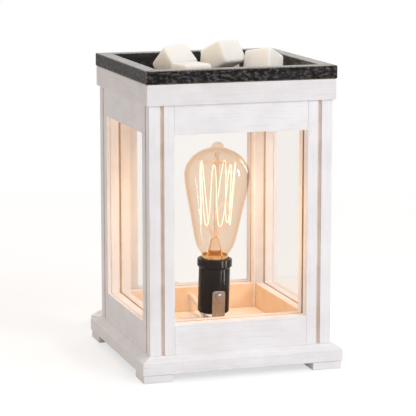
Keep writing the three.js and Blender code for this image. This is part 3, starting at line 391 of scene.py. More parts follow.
# Posts: square pine with a groove down both outer faces, where the wash stays thin and brown, and a
# kerf for the glass and a scribed line in both edges. Each is glued between its rails.
post_low, post_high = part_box("post_front_left")
post_width = post_high.x - post_low.x
groove_near, groove_far, groove_depth = 10.8 * mm, 14.4 * mm, 2.4 * mm
kerf_near, kerf_far = 12.45 * mm, 14.55 * mm
kerf_depth = 1 * mm  # 4 mm in the model; shallower here, so that light reaches its bottom
bead_near, bead_far, bead_depth = 3.6 * mm, 4.2 * mm, 0.9 * mm
groove = (groove_near, groove_far, groove_depth)
kerf = (kerf_near, kerf_far, kerf_depth)
bead = (bead_near, bead_far, bead_depth)
slack = 0.01 * mm
post_cuts = [post_low.x + d for d in (
    groove_depth, bead_near, bead_far, groove_near, kerf_near, groove_far, kerf_far,
    post_width - kerf_depth, post_width - bead_depth)]


def in_cut(across, down, cuts, reach=0.0, least=-1.0):
    """True inside one of the cuts, at a place across a face and down from it."""
    return any(near - reach < across < far + reach and least < down < depth + reach
               for near, far, depth in cuts)


def in_post_cut(point, cuts, outer=False, **limits):
    """True inside a cut of the front left post, down from its outer or from its inner faces."""
    x, y = point.x - post_low.x, point.y - post_low.x
    return any(in_cut(across, down if outer else post_width - down, cuts, **limits)
               for across, down in ((x, y), (y, x)))


def middle(edge):
    """The middle of an edge."""
    return (edge.verts[0].co + edge.verts[1].co) / 2


bare_groove = whitewashed("pine in a groove that the wash missed", "z", 0.1, "#e4d0bf", "#d1b8a3")
raw_kerf = grained(whitewashed, "raw sawn pine of a kerf", "xyz", 0.0, "#f8d3a6", "#ecc292")
post = outline("post_front_left_pine", post_low, post_high, post_cuts, post_cuts,
               lambda c: not (in_post_cut(c, (groove,), True) or in_post_cut(c, (kerf, bead))),
               washed["z"], rubbed["z"], bare_groove, raw_kerf["z"])
for index, cut in ((2, groove), (3, kerf)):
    finished(post, index, lambda f: abs(f.normal.z) < 0.5 and in_post_cut(
        f.calc_center_median(), (cut,), cut is groove, reach=slack, least=slack))
eased(post, 0.6 * mm, finish=1,
      only=lambda e: not in_post_cut(middle(e), (kerf, bead), reach=slack))
# Painted shade: a greyer wash that darkens the back right post's face beside the right window,
# where the lamp's light falls weaker.
painted_shade_wash = whitewashed("pine washed darker beside the window as painted shade", "z", 0.0, "#e0dcdc", "#d5d0d0")
# Painted shadow: a dark brown wash for the shaded gap between the front pane and the front right
# post.
painted_shadow_wash = whitewashed("pine stained dark where the front pane stands", "z", 0.0, "#75655a",
                      "#64554a")
painted_shadow_start = 10.6 * mm - body_half
own_finish = len(post.data.materials)
for turns, corner in enumerate(corners):
    upright = quarter(post, f"post_{corner}_pine", turns)
    # The back right post's face beside the right window takes the greyer wash as painted shade.
    if corner == "back_right":
        upright.data.materials.append(painted_shade_wash)
        finished(upright, own_finish, lambda f: f.normal.y < -0.9 and f.material_index == 0
                 and f.calc_center_median().x < body_half - kerf_far)
    # A strip of the front right post's inner face beside the front pane is cut off and given the
    # painted shadow.
    if corner == "front_right":
        upright.data.materials.append(painted_shadow_wash)
        edit(upright, faces=lambda f: f.normal.x < -0.9 and f.material_index == 0
             and f.calc_center_median().y < kerf_near - body_half)
        bpy.ops.mesh.bisect(plane_co=(0, painted_shadow_start, 0), plane_no=(0, 1, 0))
        close()
        finished(upright, own_finish, lambda f: f.normal.x < -0.5 and abs(f.normal.z) < 0.5
                 and painted_shadow_start < f.calc_center_median().y < kerf_far - body_half)
    fitted(upright, "lantern", "whitewashed_wood", f"post_{corner}")


# Rails: pine boards between the posts, flush with them, with a kerf for the glass in the edge that
# faces the window. The back lower rail is bored for the cord's bush.
def laid_along_x(piece):
    """Turns a board that was drawn on end, so that it lies along X."""
    piece.matrix_world = Matrix(((0, 0, 1, 0), (1, 0, 0, 0), (0, 1, 0, 0), (0, 0, 0, 1)))
    settle(piece)


def rail(name, low, high, kerf_up):
    """The front rail between two corners, with its kerf and bead line in one edge."""
    edge = high.z if kerf_up else low.z
    inward = -1 if kerf_up else 1

    def in_rail_cut(across, level, cuts=(kerf, bead), **limits):
        return in_cut(across - low.y, abs(level - edge), cuts, **limits)

    piece = outline(name, (low.y, low.z, low.x), (high.y, high.z, high.x),
                    [low.y + line for cut in (kerf, bead) for line in cut[:2]],
                    [edge + inward * depth for depth in (kerf_depth, bead_depth)],
                    lambda c: not in_rail_cut(c.x, c.y),
                    washed["x"], rubbed["x"], thin_wash["x"], raw_kerf["x"])
    finished(piece, 2, lambda f: kerf_up and f.normal.x > 0.9)
    finished(piece, 3, lambda f: abs(f.normal.z) < 0.5 and in_rail_cut(
        *f.calc_center_median().xy, (kerf,), reach=slack, least=slack))
    laid_along_x(piece)
    eased(piece, 0.5 * mm, finish=1, only=lambda e: not in_rail_cut(*middle(e).yz, reach=slack))
    return piece


sides = ("front", "right", "back", "left")


def around(front, name, finishes):
    """The front board and its copies on the other three sides, with the grain along each."""
    for turns, side in enumerate(sides):
        board = quarter(front, f"{name}_{side}_pine", turns)
        if turns % 2:
            for index, finish in enumerate(finishes):
                board.data.materials[index] = finish["y"]
        yield side, board


thin_wash = grained(whitewashed, "thinly washed pine", "xy", 0.1, "#f2dcc2", "#e8ccab")
for level, kerf_up in (("lower", True), ("upper", False)):
    front_rail = rail(f"{level}_rail_front_pine", *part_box(f"{level}_rail_front"), kerf_up)
    for side, board in around(front_rail, f"{level}_rail", (washed, rubbed, thin_wash, raw_kerf)):
        fitted(board, "lantern", "whitewashed_wood", f"{level}_rail_{side}")


# Panes: clear float glass with ground edges, slid into the kerfs. They mirror the white room a
# little, and their green tint shows in the edges.
def clear_glass(name, tint, edge_tint, least_mirror, most_mirror):
    """Glass thin enough not to bend what is seen through it: clear face on, glossy and tinted at
    a slant."""
    made, tree, place = material(name)
    slant = node(tree, "LayerWeight", {"Blend": 0.5}).outputs["Facing"]
    depth = node(tree, "Math", {"Value": slant, "Value_001": 2.5}, operation="POWER")
    colour = node(tree, "Mix", {"Factor_Float": depth, "A_Color": linear(tint),
                  "B_Color": linear(edge_tint)}, data_type="RGBA")
    rise = node(tree, "Math", {"Value": slant, "Value_001": 5.0}, operation="POWER")
    mirror = node(tree, "MapRange", {"Value": rise, "To Min": least_mirror,
                  "To Max": most_mirror})
    smears = node(tree, "TexNoise", {"Vector": place, "Scale": 1 / (18 * mm), "Detail": 2.0})
    rough = node(tree, "MapRange", {"Value": smears, "To Min": 0.01, "To Max": 0.06})
    shader = node(tree, "MixShader", {
        "Fac": mirror,
        "Shader": node(tree, "BsdfTransparent", {"Color": colour}),
        "Shader_001": node(tree, "BsdfGlossy", {"Color": linear("#ffffff"),
                           "Roughness": rough})})
    node(tree, "OutputMaterial", {"Surface": shader})
    return made


pane_face = clear_glass("clear float glass", "#fdfcfb", "#f6f5f3", 0.006, 0.6)
pane_edge = clear_glass("ground edge of float glass", "#eef1ec", "#dde5dd", 0.03, 0.4)
pane_bite = 0.75 * mm
pane_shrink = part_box("glass_front")[1].x - post_inner - pane_bite
for side in sides:
    low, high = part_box(f"glass_{side}")
    across = 0 if side in ("left", "right") else 1
    shrink = Vector([0 if axis == across else pane_shrink for axis in range(3)])
    pane = block(f"pane_{side}", low + shrink, high - shrink, pane_face, pane_edge)
    finished(pane, 1, lambda f: abs(f.normal[across]) < 0.5)
    eased(pane, 0.2 * mm, segments=1, finish=1)
    fitted(pane, "lantern", "clear_glass", f"glass_{side}")

# Rear window strip: an upright of washed pine that narrows the back window beside the left post,
# glued in between the rails.
strip_low, strip_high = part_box("rear_window_strip")
strip = block("rear_window_strip_pine", strip_low, strip_high, washed["z"], rubbed["z"])
eased(strip, 0.5 * mm, finish=1)
fitted(strip, "lantern", "whitewashed_wood", "rear_window_strip")


# Cap frame: four pine boards mitred at the corners, proud of the posts and glued down on them.
# Their wash is a little greyer than that of the posts.
def mitred(piece, half):
    """Cuts both ends of a front board at 45 degrees, through the corners of a square."""
    edit(piece)
    for side in (-1, 1):
        bpy.ops.mesh.select_all(action="SELECT")
        bpy.ops.mesh.bisect(plane_co=(side * half, -half, 0), plane_no=(side, 1, 0), use_fill=True,
                            clear_outer=True)
    close()


cap_low, cap_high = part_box("cap_frame")
cap_thickness = 13 * mm
joint = 0.05 * mm
cap_wash = grained(whitewashed, "whitewashed pine of the cap", "xy", 0.0, "#efeced", "#e8e5e5")
cap = block("cap_front_pine", cap_low, (cap_high.x, cap_low.y + cap_thickness, cap_high.z - joint),
            cap_wash["x"], rubbed["x"])
mitred(cap, cap_high.x - joint)
eased(cap, 0.7 * mm, finish=1)
for side, board in around(cap, "cap", (cap_wash, rubbed)):
    fitted(board, "lantern", "whitewashed_wood", "cap_frame")


# Tray rim: four boards mitred at the corners, painted black and rubbed back, so that grey and
# bronze show through at the arrises. It lifts off with the dish.
def black_paint(name, axis, rubbed_share, rubbed_colour, thick_colour, thin_colour, fleck_length,
                level, least_rough):
    """Thin black paint on sanded pine: cloudy where the brush left it thin, more or less glossy.
    The streaks are drawn wider than a brush leaves them, so that they show."""
    grains = {"streaks": (2.2, 26, 4, 0.65), "flecks": (2.9, fleck_length, 4, 0.6),
              "grit": (1.6, 1.6, 2)}
    layers = (("flecks", 0.48, 0.68, 0.95, thin_colour), ("streaks", 0.5, 0.75, 0.55, "#4a4745"),
              ("grit", 0.75 - rubbed_share / 2, 0.86 - rubbed_share / 2, 0.9, rubbed_colour))
    return surface(name, grains, thick_colour, layers, ("flecks", least_rough, least_rough + 0.2),
                   ("streaks", 0.35, 0.2), axis, {"Specular IOR Level": level})


painted = grained(black_paint, "black paint on pine", "xy", 0.0, "#6b5d50", "#100f10", "#66615e",
                  5, 0.12, 0.4)
painted_arris = grained(black_paint, "black paint rubbed to the wood", "xy", 0.6, "#8d7763",
                        "#100f10", "#66615e", 5, 0.3, 0.4)
painted_inside = grained(black_paint, "black paint left satin inside", "xy", 0.0, "#6b5d50",
                         "#121212", "#2b2a28", 24, 0.4, 0.25)
# The top faces are rubbed and also painted a much lighter grey: real wear plus a painted sheen of
# the room mirrored at a grazing angle.
worn_paint_with_painted_sheen = grained(black_paint, "black paint worn satin on top", "xy", 0.3, "#a79c90",
                      "#5a554f", "#aea499", 24, 1.0, 0.18)
rim_paints = (painted, painted_arris, worn_paint_with_painted_sheen, painted_inside)
rim_low, rim_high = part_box("tray_rim")
rim_width = 14 * mm
rebate_width = 5.4 * mm
rebate_height = 2 * mm
rebate_line = rim_low.y + rim_width - rebate_width
rebate_top = rim_low.z + rebate_height
rim = outline("rim_front_pine", (rim_low.y, rim_low.z, rim_low.x),
              (rim_low.y + rim_width, rim_high.z, rim_high.x), (rebate_line,), (rebate_top,),
              lambda c: c.x < rebate_line or c.y > rebate_top,
              *(paint["x"] for paint in rim_paints))
laid_along_x(rim)
mitred(rim, rim_high.x - joint)
for index, normal in ((2, Vector((0, 0, 1))), (3, Vector((0, 1, 0)))):
    finished(rim, index, lambda f: f.normal.dot(normal) > 0.9)
eased(rim, 0.8 * mm, segments=3, finish=1)
for side, board in around(rim, "rim", rim_paints):
    # Painted reflection: the right board's inner face takes the lighter top paint, so it is lighter
    # than the other inner faces.
    if side == "right":
        board.data.materials[3] = worn_paint_with_painted_sheen["y"]
    fitted(board, "tray", "black_rim", "tray_rim")

# Wax dish: a pan pressed from sheet steel, its flange let into the rim. The black enamel fired on
# it is glossy, faintly rippled like peel, and greyer where it is scuffed.
enamel = surface("black vitreous enamel on pressed steel",
                 {"peel": (2.5, 2.5, 2), "scuffs": (11, 11, 4)}, "#1d1e20",
                 (("scuffs", 0.5, 0.75, 1, "#35363a"),), ("scuffs", 0.28, 0.5),
                 ("peel", 0.25, 0.15))
dish_low, dish_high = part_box("wax_dish")
dish_wall = 1.6 * mm
dish_half = 78.8 * mm
dish_corner = 8 * mm
dish_sweep = 3 * mm
flange_low = dish_high.z - dish_wall
dish = block("dish_enamelled", (-dish_half, -dish_half, dish_low.z),
             (dish_half, dish_half, flange_low), enamel)
bevelled(dish, dish_corner, 8, lambda e: abs(e.verts[0].co.z - e.verts[1].co.z) > dish_wall)
bevelled(dish, dish_sweep, 4, lambda e: all(v.co.z < dish_low.z + dish_wall for v in e.verts))
edit(dish, faces=lambda f: f.normal.z > 0.9)
bpy.ops.mesh.delete(type="FACE")
close()
edit(dish, edges=lambda e: e.is_boundary)
bpy.ops.mesh.extrude_edges_move()
flange_spread = dish_high.x / dish_half
bpy.ops.transform.resize(value=(flange_spread, flange_spread, 1),
                         center_override=(0, 0, flange_low))
bpy.ops.mesh.select_all(action="SELECT")
bpy.ops.mesh.normals_make_consistent(inside=False)
close()
applied(dish, "SOLIDIFY", thickness=dish_wall, offset=1, use_even_offset=True)
eased(dish, 0.3 * mm, sharp=50)
fitted(dish, "tray", "enamel_steel", "wax_dish")


# Wax melts: cubes cast in a tray with draft, so that they are narrower on top, broken off and
# tipped into the dish. The wax is milky and lets light a little way in.
def set_at(piece, place, turn=(0, 0, 0), order="XYZ"):
    """Turns a piece about the origin, by degrees, and moves it to its place, both in its mesh."""
    piece.rotation_mode = order
    piece.rotation_euler = [math.radians(degrees) for degrees in turn]
    piece.location = place
    settle(piece)
    piece.rotation_mode = "XYZ"


wax = surface("cast scented wax", {"mottle": (9, 9, 4), "bloom": (1.8, 1.8, 3)}, "#efe9e0",
              (("mottle", 0, 1, 1, "#f5f1eb"),), ("bloom", 0.42, 0.6), ("bloom", 0.3, 0.25),
              sockets={"IOR": 1.44, "Subsurface Weight": 0.9, "Subsurface Scale": 9 * mm,
                       "Subsurface Radius": (1.0, 0.9, 0.75)})
melt_side = 31 * mm
melt_top = 28.4 * mm
melt_height = 24 * mm
melt_round = 2.6 * mm
melt_turns = ((0, 0, 15), (-37.6, -18.2, 13.3), (-22.6, -13.2, 28.3), (-23.4, 10.2, 43.7),
              (0, 0, -12), (0, 0, 14))
melt_corner = Vector((melt_side, melt_side, melt_height)) / 2
blank = block("wax_blank", -melt_corner, melt_corner, wax)
edit(blank, faces=lambda f: f.normal.z > 0.9)
draft = melt_top / melt_side
bpy.ops.transform.resize(value=(draft, draft, 1), center_override=(0, 0, melt_corner.z))
close()
bevelled(blank, melt_round, 5, lambda e: True)
edit(blank, edges=lambda e: True)
bpy.ops.mesh.subdivide(number_cuts=2)
close()
ripple = bpy.data.textures.new("wax ripple", "CLOUDS")
ripple.noise_scale = 12 * mm
melts = bpy.data.collections.new("wax melts")
for i, turn in enumerate(melt_turns):
    low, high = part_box(f"wax_melt_{i + 1}")
    melt = copied(blank, f"melt_{i + 1}_wax")
    set_at(melt, (low + high) / 2, turn, "ZYX")
    applied(melt, "DISPLACE", texture=ripple, texture_coords="GLOBAL", strength=0.9 * mm,
            mid_level=0.6)
    bpy.ops.object.shade_smooth()
    fitted(melt, "tray", "wax", f"wax_melt_{i + 1}")
    melts.objects.link(melt)
bpy.data.objects.remove(blank)

# Wax lets far more light through than the shader does, so two soft lamps on the left light the
# melts alone, the lower one without the shadow of what stands before it.
wax_fill = softbox("wax fill light", (-1.7, -0.35, 0.6), (0, 0, 0.29), 0.8, 6.5, "#fff3e2")
wax_underfill = softbox("wax underfill light", (-1.5, -0.5, 0.05), (0, 0, 0.29), 0.8, 3.5,
                        "#fff3e2")
for lamp in (wax_fill, wax_underfill):
    lamp.light_linking.receiver_collection = melts
wax_underfill.light_linking.blocker_collection = melts

# Socket: moulded brown-black phenolic, turned in one with its collar, on a bracket of brushed
# steel strap. The whole lamp leans a little to the right about the bracket's foot.
lamp_lean = math.radians(1.6)
lamp_place = Matrix.Translation((0.2 * mm, 0, board_high.z)) @ Matrix.Rotation(lamp_lean, 4, "Y")


def leant(piece):
    """Stands a piece that was made upright on the leaning axis of the lamp, and returns it."""
    piece.matrix_world = lamp_place
    settle(piece)
    return piece


def weld():
    """Joins the doubled points of the piece being edited, turns its faces outward, and closes."""
    bpy.ops.mesh.select_all(action="SELECT")
    bpy.ops.mesh.remove_doubles(threshold=0.001 * mm)
    bpy.ops.mesh.normals_make_consistent(inside=False)
    close()


def turned(name, profile, steps, *materials):
    """A body of revolution: a point drawn out along a profile of radii and heights, then spun."""
    piece = added(name, bpy.ops.mesh.primitive_plane_add, materials, size=mm)
    alone(piece)
    bpy.ops.object.mode_set(mode="EDIT")
    bpy.ops.mesh.select_mode(type="VERT")
    bpy.ops.mesh.select_all(action="SELECT")
    bpy.ops.mesh.merge(type="CENTER")
    last = Vector((profile[0][0], 0, profile[0][1]))
    bpy.ops.transform.translate(value=last)
    for radius, height in profile[1:]:
        point = Vector((radius, 0, height))
        bpy.ops.mesh.extrude_vertices_move(TRANSFORM_OT_translate={"value": point - last})
        last = point
    bpy.ops.mesh.select_all(action="SELECT")
    bpy.ops.mesh.spin(steps=steps, angle=2 * math.pi, center=(0, 0, 0), axis=(0, 0, 1))
    weld()
    return piece


# Handling leaves finer scratches than the 1.2 mm here; they are drawn so that they show.
phenolic = surface("moulded phenolic, brown black",
                   {"flow": (6, 22, 4, 0.5, 0.6), "scratches": (1.2, 1.2, 3)}, "#0c0807",
                   (("flow", 0, 1, 1, "#1d120c"),), ("scratches", 0.1, 0.22),
                   ("scratches", 0.12, 0.1), sockets={"IOR": 1.22})
socket_bottom = 14 * mm
socket_radius = 15.5 * mm
socket_top = 68.3 * mm
collar_radius = 17.2 * mm
collar_height = 7.6 * mm
collar_slope = 1.5 * mm
socket_chamfer = 1.5 * mm
collar_chamfer = 0.6 * mm
lower_cavity_radius = 12.2 * mm
web_bottom = 24 * mm
web_top = 39 * mm
upper_bore = 14.3 * mm
socket_profile = (
    (lower_cavity_radius, socket_bottom), (socket_radius - socket_chamfer, socket_bottom),
    (socket_radius, socket_bottom + socket_chamfer),
    (socket_radius, socket_top - collar_height - collar_slope),
    (collar_radius, socket_top - collar_height), (collar_radius, socket_top - collar_chamfer),
    (collar_radius - collar_chamfer, socket_top), (upper_bore, socket_top), (upper_bore, web_top),
    (0, web_top), (0, web_bottom), (lower_cavity_radius, web_bottom),
    (lower_cavity_radius, socket_bottom))
socket = turned("socket_phenolic", socket_profile, 64, phenolic)
eased(socket, 0.5 * mm, segments=3, sharp=25)
fitted(leant(socket), "lantern", "phenolic", "socket_body")


def brushed_metal(name, colour, dark, rough, axis):
    """Metal with the fine straight lines of a brushed or rolled surface along one axis. Real
    lines are finer than the 0.5 mm here; they are drawn so that they show."""
    return surface(name, {"lines": (0.5, 12, 3), "stains": (5, 5, 3)}, dark,
                   (("stains", 0, 1, 1, colour),), ("lines", rough * 0.7, rough * 1.3),
                   ("lines", 0.3, 0.05), axis, {"Metallic": 1.0})


steel = brushed_metal("brushed zinc-plated steel", "#bfbab6", "#928b86", 0.3, "z")
brass = brushed_metal("rolled brass", "#efc58e", "#cb9556", 0.22, "z")
bracket_width = 13 * mm
bracket_thickness = 1.2 * mm
bracket_outer = -17 * mm
bracket_foot_low = 0.5 * mm
bracket_top = 38 * mm
bracket_bend = 2 * mm
bracket_foot = 26 * mm
strap_round = 2.6 * mm
half_width = bracket_width / 2
foot_top = bracket_foot_low + bracket_thickness
bend_start = bracket_outer + bracket_bend + bracket_thickness
bend_top = foot_top + bracket_bend
bracket = block("bracket_steel", (-half_width, bend_start, bracket_foot_low),
                (half_width, bracket_outer + bracket_foot, foot_top), steel)
edit(bracket, faces=lambda f: f.normal.y < -0.9)
bpy.ops.mesh.spin(steps=6, angle=math.pi / 2, axis=(1, 0, 0), center=(0, bend_start, bend_top))
bpy.ops.mesh.extrude_region_move(TRANSFORM_OT_translate={"value": (0, 0, bracket_top - bend_top)})
weld()
bevelled(bracket, strap_round, 5, lambda e: all(v.co.z > bracket_top - mm for v in e.verts)
         and abs(e.verts[0].co.y - e.verts[1].co.y) > bracket_thickness / 2)
eased(bracket, 0.2 * mm, sharp=40)
fitted(leant(bracket), "lantern", "steel", "socket_bracket")


# Bracket screws: steel pan heads with a slot, one through the strap into the socket's web and one
# down through the strap's foot into the floor.
def pan_screw(name, shank, head, height, length):
    """A slotted pan-head screw that points down, its head standing on the level of zero."""
    dome_steps = 6
    shoulder = 0.45 * height
    profile = [(0, -length), (shank, -length), (shank, 0), (head, 0), (head, shoulder)]
    for i in range(1, dome_steps + 1):
        angle = i / dome_steps * math.pi / 2
        profile.append((head * math.cos(angle), shoulder + (height - shoulder) * math.sin(angle)))
    screw = turned(name, profile, 24, steel)
    slot_half = 0.45 * mm
    slot_depth = 0.5 * height
    cutter = block("slot_cutter", (-head - mm, -slot_half, height - slot_depth),
                   (head + mm, slot_half, height + mm))
    applied(screw, "BOOLEAN", object=cutter, operation="DIFFERENCE", solver="EXACT")
    bpy.data.objects.remove(cutter)
    eased(screw, 0.12 * mm, sharp=40)
    return screw


head_gap = 0.3 * mm
side_screw_height = 32.6 * mm
foot_screw_offset = 13 * mm
side_screw = pan_screw("bracket_side_screw_steel", 1.9 * mm, 3.5 * mm, 2.3 * mm, 9.2 * mm)
set_at(side_screw, (0, bracket_outer - head_gap, side_screw_height), (90, 25, 0))
fitted(leant(side_screw), "lantern", "steel", "bracket_side_screw")
foot_screw = pan_screw("bracket_foot_screw_steel", 1.6 * mm, 3.2 * mm, 1.8 * mm, 11 * mm)
set_at(foot_screw, (0, bracket_outer + foot_screw_offset, foot_top + head_gap))
fitted(leant(foot_screw), "lantern", "steel", "bracket_foot_screw")


# Live parts of the socket: the rolled screw shell, the sprung centre contact on its rivet, and the
# two terminal screws. They keep the shapes of the model and are finished in brass.
def refinished(name, finish):
    """Gives a CAD node that keeps its shape a finish."""
    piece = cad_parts[name]
    for place in piece.material_slots:
        place.material = finish


for name in ("socket_shell", "socket_centre_contact", "terminal_screw_left",
             "terminal_screw_right"):
    refinished(name, brass)

# Bulb cap: sheet brass rolled with the round thread of a 26 mm screw base, crimped and cemented to
# the glass. Under it are the porcelain insulator and the soldered contact.
cap_bottom = 48.6 * mm
cap_top = 72 * mm
thread_top = 62 * mm
thread_pitch = 3.629 * mm
thread_radius = 13.1 * mm
thread_depth = 0.9 * mm
cap_sheet = 0.4 * mm
rings_per_pitch = 10
cap_rings = round((cap_top - cap_bottom) / thread_pitch * rings_per_pitch)
cap_line = [(thread_radius, cap_bottom + (cap_top - cap_bottom) * i / cap_rings)
            for i in range(cap_rings + 1)]
bulb_cap = turned("bulb_cap_brass", cap_line, 64, brass)


def ramp(value, start, end):
    """0 before start, 1 after end, and a straight line between."""
    return min(1.0, max(0.0, (value - start) / (end - start)))


for vertex in bulb_cap.data.vertices:
    x, y, z = vertex.co
    kept = ramp(z, cap_bottom, cap_bottom + thread_pitch)
    plain = ramp(z, thread_top, thread_top + thread_pitch / 2)
    wave = math.cos(2 * math.pi * z / thread_pitch - math.atan2(y, x)) * kept - (1 - kept)
    crest = wave * (1 - plain) + plain
    radius = thread_radius - thread_depth / 2 + crest * thread_depth / 2
    vertex.co = (x / thread_radius * radius, y / thread_radius * radius, z)
applied(bulb_cap, "SOLIDIFY", thickness=cap_sheet, offset=-1)
smoothed(bulb_cap, 50)
fitted(leant(bulb_cap), "bulb", "brass", "bulb_cap")


def mineral(name, light, dark, rough):
    """Glazed porcelain, glossy, or set cement, dull: hard, with faint specks."""
    return surface(name, {"specks": (1.5, 1.5, 3)}, light, (("specks", 0, 1, 1, dark),),
                   ("specks", rough * 0.7, rough * 1.3), ("specks", 0.15, 0.1))


refinished("bulb_insulator", mineral("glazed porcelain", "#e9e2d6", "#cfc5b6", 0.2))
solder = brushed_metal("dull solder", "#b5b2ad", "#7f7c78", 0.45, "x")
refinished("bulb_contact", solder)

# Cement: a cup of pale basing cement that lines the cap round the neck and under the foot of the
# stem, where it catches the light that comes down through the glass.
neck_depth = 6 * mm
cement_wall = 0.3 * mm
cement_floor = 1 * mm
cement_radius = 12.6 * mm
cement_top = cap_top - neck_depth - 0.4 * mm
cement_rim = cap_top - 0.3 * mm
cement = turned("bulb_cement", [
    (0, cement_top - cement_floor), (cement_radius, cement_top - cement_floor),
    (cement_radius, cement_rim), (cement_radius - cement_wall, cement_rim),
    (cement_radius - cement_wall, cement_top), (0, cement_top)], 48,
    mineral("basing cement", "#c9b48f", "#a08660", 0.4))
fitted(leant(cement), "bulb", "porcelain", "bulb_cap")

# Bulb stem: a flared tube of clear glass sealed into the neck, pinched flat round the leads, with a
# rod up the middle and a button on top for the hooks.
blown, tree, place = material("pressed lead glass")
seed = node(tree, "TexNoise", {"Vector": place, "Scale": 1 / (3 * mm), "Detail": 2.0})
stem_rough = node(tree, "MapRange", {"Value": seed, "To Min": 0.0, "To Max": 0.08})
stem_skin = node(tree, "Bump", {"Height": seed, "Strength": 0.3, "Distance": 0.3 * mm})
stem_glass = node(tree, "BsdfGlass", {"Color": linear("#fff6ea"), "Roughness": stem_rough,
                  "IOR": 1.2, "Normal": stem_skin})
shadow = node(tree, "LightPath").outputs["Is Shadow Ray"]
stem_mix = node(tree, "MixShader", {"Fac": shadow, "Shader": stem_glass,
                "Shader_001": node(tree, "BsdfTransparent", {"Color": linear("#f4e8d8")})})
node(tree, "OutputMaterial", {"Surface": stem_mix})

stem_height = 101 * mm
stem_hub = 89 * mm
stem_button = 97 * mm
rod_radius = 1.5 * mm
hub_radius = 2.8 * mm
stem_foot = cap_top - neck_depth
stem_line = [(0, stem_foot), (10.8 * mm, stem_foot), (10.8 * mm, stem_foot + 0.6 * mm)]
stem_line += [(r * mm, cap_top + z * mm) for r, z in (
    (9.2, -3), (7.6, 0.5), (6.6, 4), (5.7, 8), (4.9, 12), (4.6, 14), (3.3, 15.6), (1.9, 16.4))]
stem_line += [
    (rod_radius, cap_top + 18 * mm), (rod_radius, cap_top + stem_hub),
    (hub_radius, cap_top + stem_hub + 0.8 * mm), (hub_radius, cap_top + stem_hub + 2.4 * mm),
    (rod_radius, cap_top + stem_hub + 3.4 * mm), (rod_radius, cap_top + stem_button),
    (hub_radius, cap_top + stem_button + 0.9 * mm), (hub_radius, cap_top + stem_height - 1 * mm),
    (0.6 * hub_radius, cap_top + stem_height - 0.2 * mm), (0, cap_top + stem_height)]
stem = turned("bulb_stem_glass", stem_line, 32, blown)
smoothed(stem, 60)
fitted(leant(stem), "bulb", "clear_glass", "bulb_stem")


# Filament: one carbon-coloured wire strung up and down in a cage of hairpins between two rings of
# hooks, glowing near white where it is hottest. Its ends run down on leads to the stem's pinch.
def wire(name, routes, radius, finish, sides, smooth=True):
    """A round wire or cord of 6 or more sides along points in metres, as a curve."""
    line = bpy.data.curves.new(name, "CURVE")
    line.dimensions = "3D"
    line.bevel_depth = radius
    line.bevel_resolution = (sides - 4) // 2
    line.resolution_u = 4
    line.use_fill_caps = True
    for route in routes:
        spline = line.splines.new("BEZIER" if smooth else "POLY")
        points = spline.bezier_points if smooth else spline.points
        points.add(len(route) - 1)
        for point, place in zip(points, route):
            if smooth:
                point.co = place
                point.handle_left_type = point.handle_right_type = "AUTO"
            else:
                point.co = (*place, 1)
    line.materials.append(finish)
    piece = bpy.data.objects.new(name, line)
    bpy.context.scene.collection.objects.link(piece)
    return piece


def meshed(piece):
    """Turns a curve into a mesh with its place in it."""
    alone(piece)
    bpy.ops.object.convert(target="MESH")
    return bpy.context.object


glowing, tree, place = material("incandescent carbon filament")
heat = node(tree, "TexNoise", {"Vector": place, "Scale": 1 / (8 * mm), "Detail": 1.0})
hot = node(tree, "Mix", {"Factor_Float": heat, "A_Color": linear("#ffdcb0"),
           "B_Color": linear("#ffead0")}, data_type="RGBA")
glow = node(tree, "MapRange", {"Value": heat, "To Min": 2.4, "To Max": 3.3})
node(tree, "OutputMaterial", {"Surface": node(tree, "BsdfPrincipled", {
    "Base Color": linear("#2b1a10"), "Roughness": 0.7, "Emission Color": hot,
    "Emission Strength": glow})})
# Painted glow: the hooks and leads emit a warm light in spots, standing in for the filament's light
# on the wire.
hook_metal, tree, place = material("molybdenum wire with a painted glow of the filament's light")
spots = node(tree, "TexNoise", {"Vector": place, "Scale": 1 / (2 * mm), "Detail": 2.0})
painted_glow = node(tree, "MapRange", {"Value": spots, "From Min": 0.35, "From Max": 0.65,
               "To Min": 0.25, "To Max": 1.1})
node(tree, "OutputMaterial", {"Surface": node(tree, "BsdfPrincipled", {
    "Base Color": linear("#c09a66"), "Metallic": 1.0, "Roughness": 0.4,
    "Emission Color": linear("#ffb878"), "Emission Strength": painted_glow})})

cage_top_radius = 18 * mm
cage_bottom_radius = 14.5 * mm
cage_top = 91 * mm
cage_bottom = 31 * mm
cage_bend = 3 * mm
hairpins = 6
pinch_level = 14 * mm
pinch_radius = 4.95 * mm
bend_turn = 0.14 / hairpins
filament_radius = 0.25 * mm
lead_radius = 0.3 * mm
hook_radius = 0.2 * mm


def cage(turn, height):
    """A point of the filament's cage at a share of a turn and a height above the cap."""
    share = (height - cage_bottom) / (cage_top - cage_bottom)
    radius = cage_bottom_radius + (cage_top_radius - cage_bottom_radius) * share
    angle = math.pi / 2 + turn * 2 * math.pi
    return Vector((radius * math.cos(angle), radius * math.sin(angle), cap_top + height))


top_turns = [(i + 0.75) / (hairpins + 0.5) for i in range(hairpins)]
bottom_turns = [(a + b) / 2 for a, b in zip(top_turns, top_turns[1:])]
end_turns = [2 * top_turns[0] - bottom_turns[0], 2 * top_turns[-1] - bottom_turns[-1]]
strand = []
for i, turn in enumerate(top_turns):
    strand += [cage(turn - bend_turn / 2, cage_top - cage_bend), cage(turn, cage_top),
               cage(turn + bend_turn / 2, cage_top - cage_bend)]
    if i < len(bottom_turns):
        low_turn = bottom_turns[i]
        strand += [cage(low_turn - bend_turn, cage_bottom + cage_bend),
                   cage(low_turn, cage_bottom - 0.6 * mm),
                   cage(low_turn + bend_turn, cage_bottom + cage_bend)]
ends = [cage(turn, cage_bottom) for turn in end_turns]
filament = meshed(wire("filament_glowing", [[ends[0], *strand, ends[1]]], filament_radius,
                       glowing, 8))
fitted(leant(filament), "bulb", "tungsten", "bulb_filament")


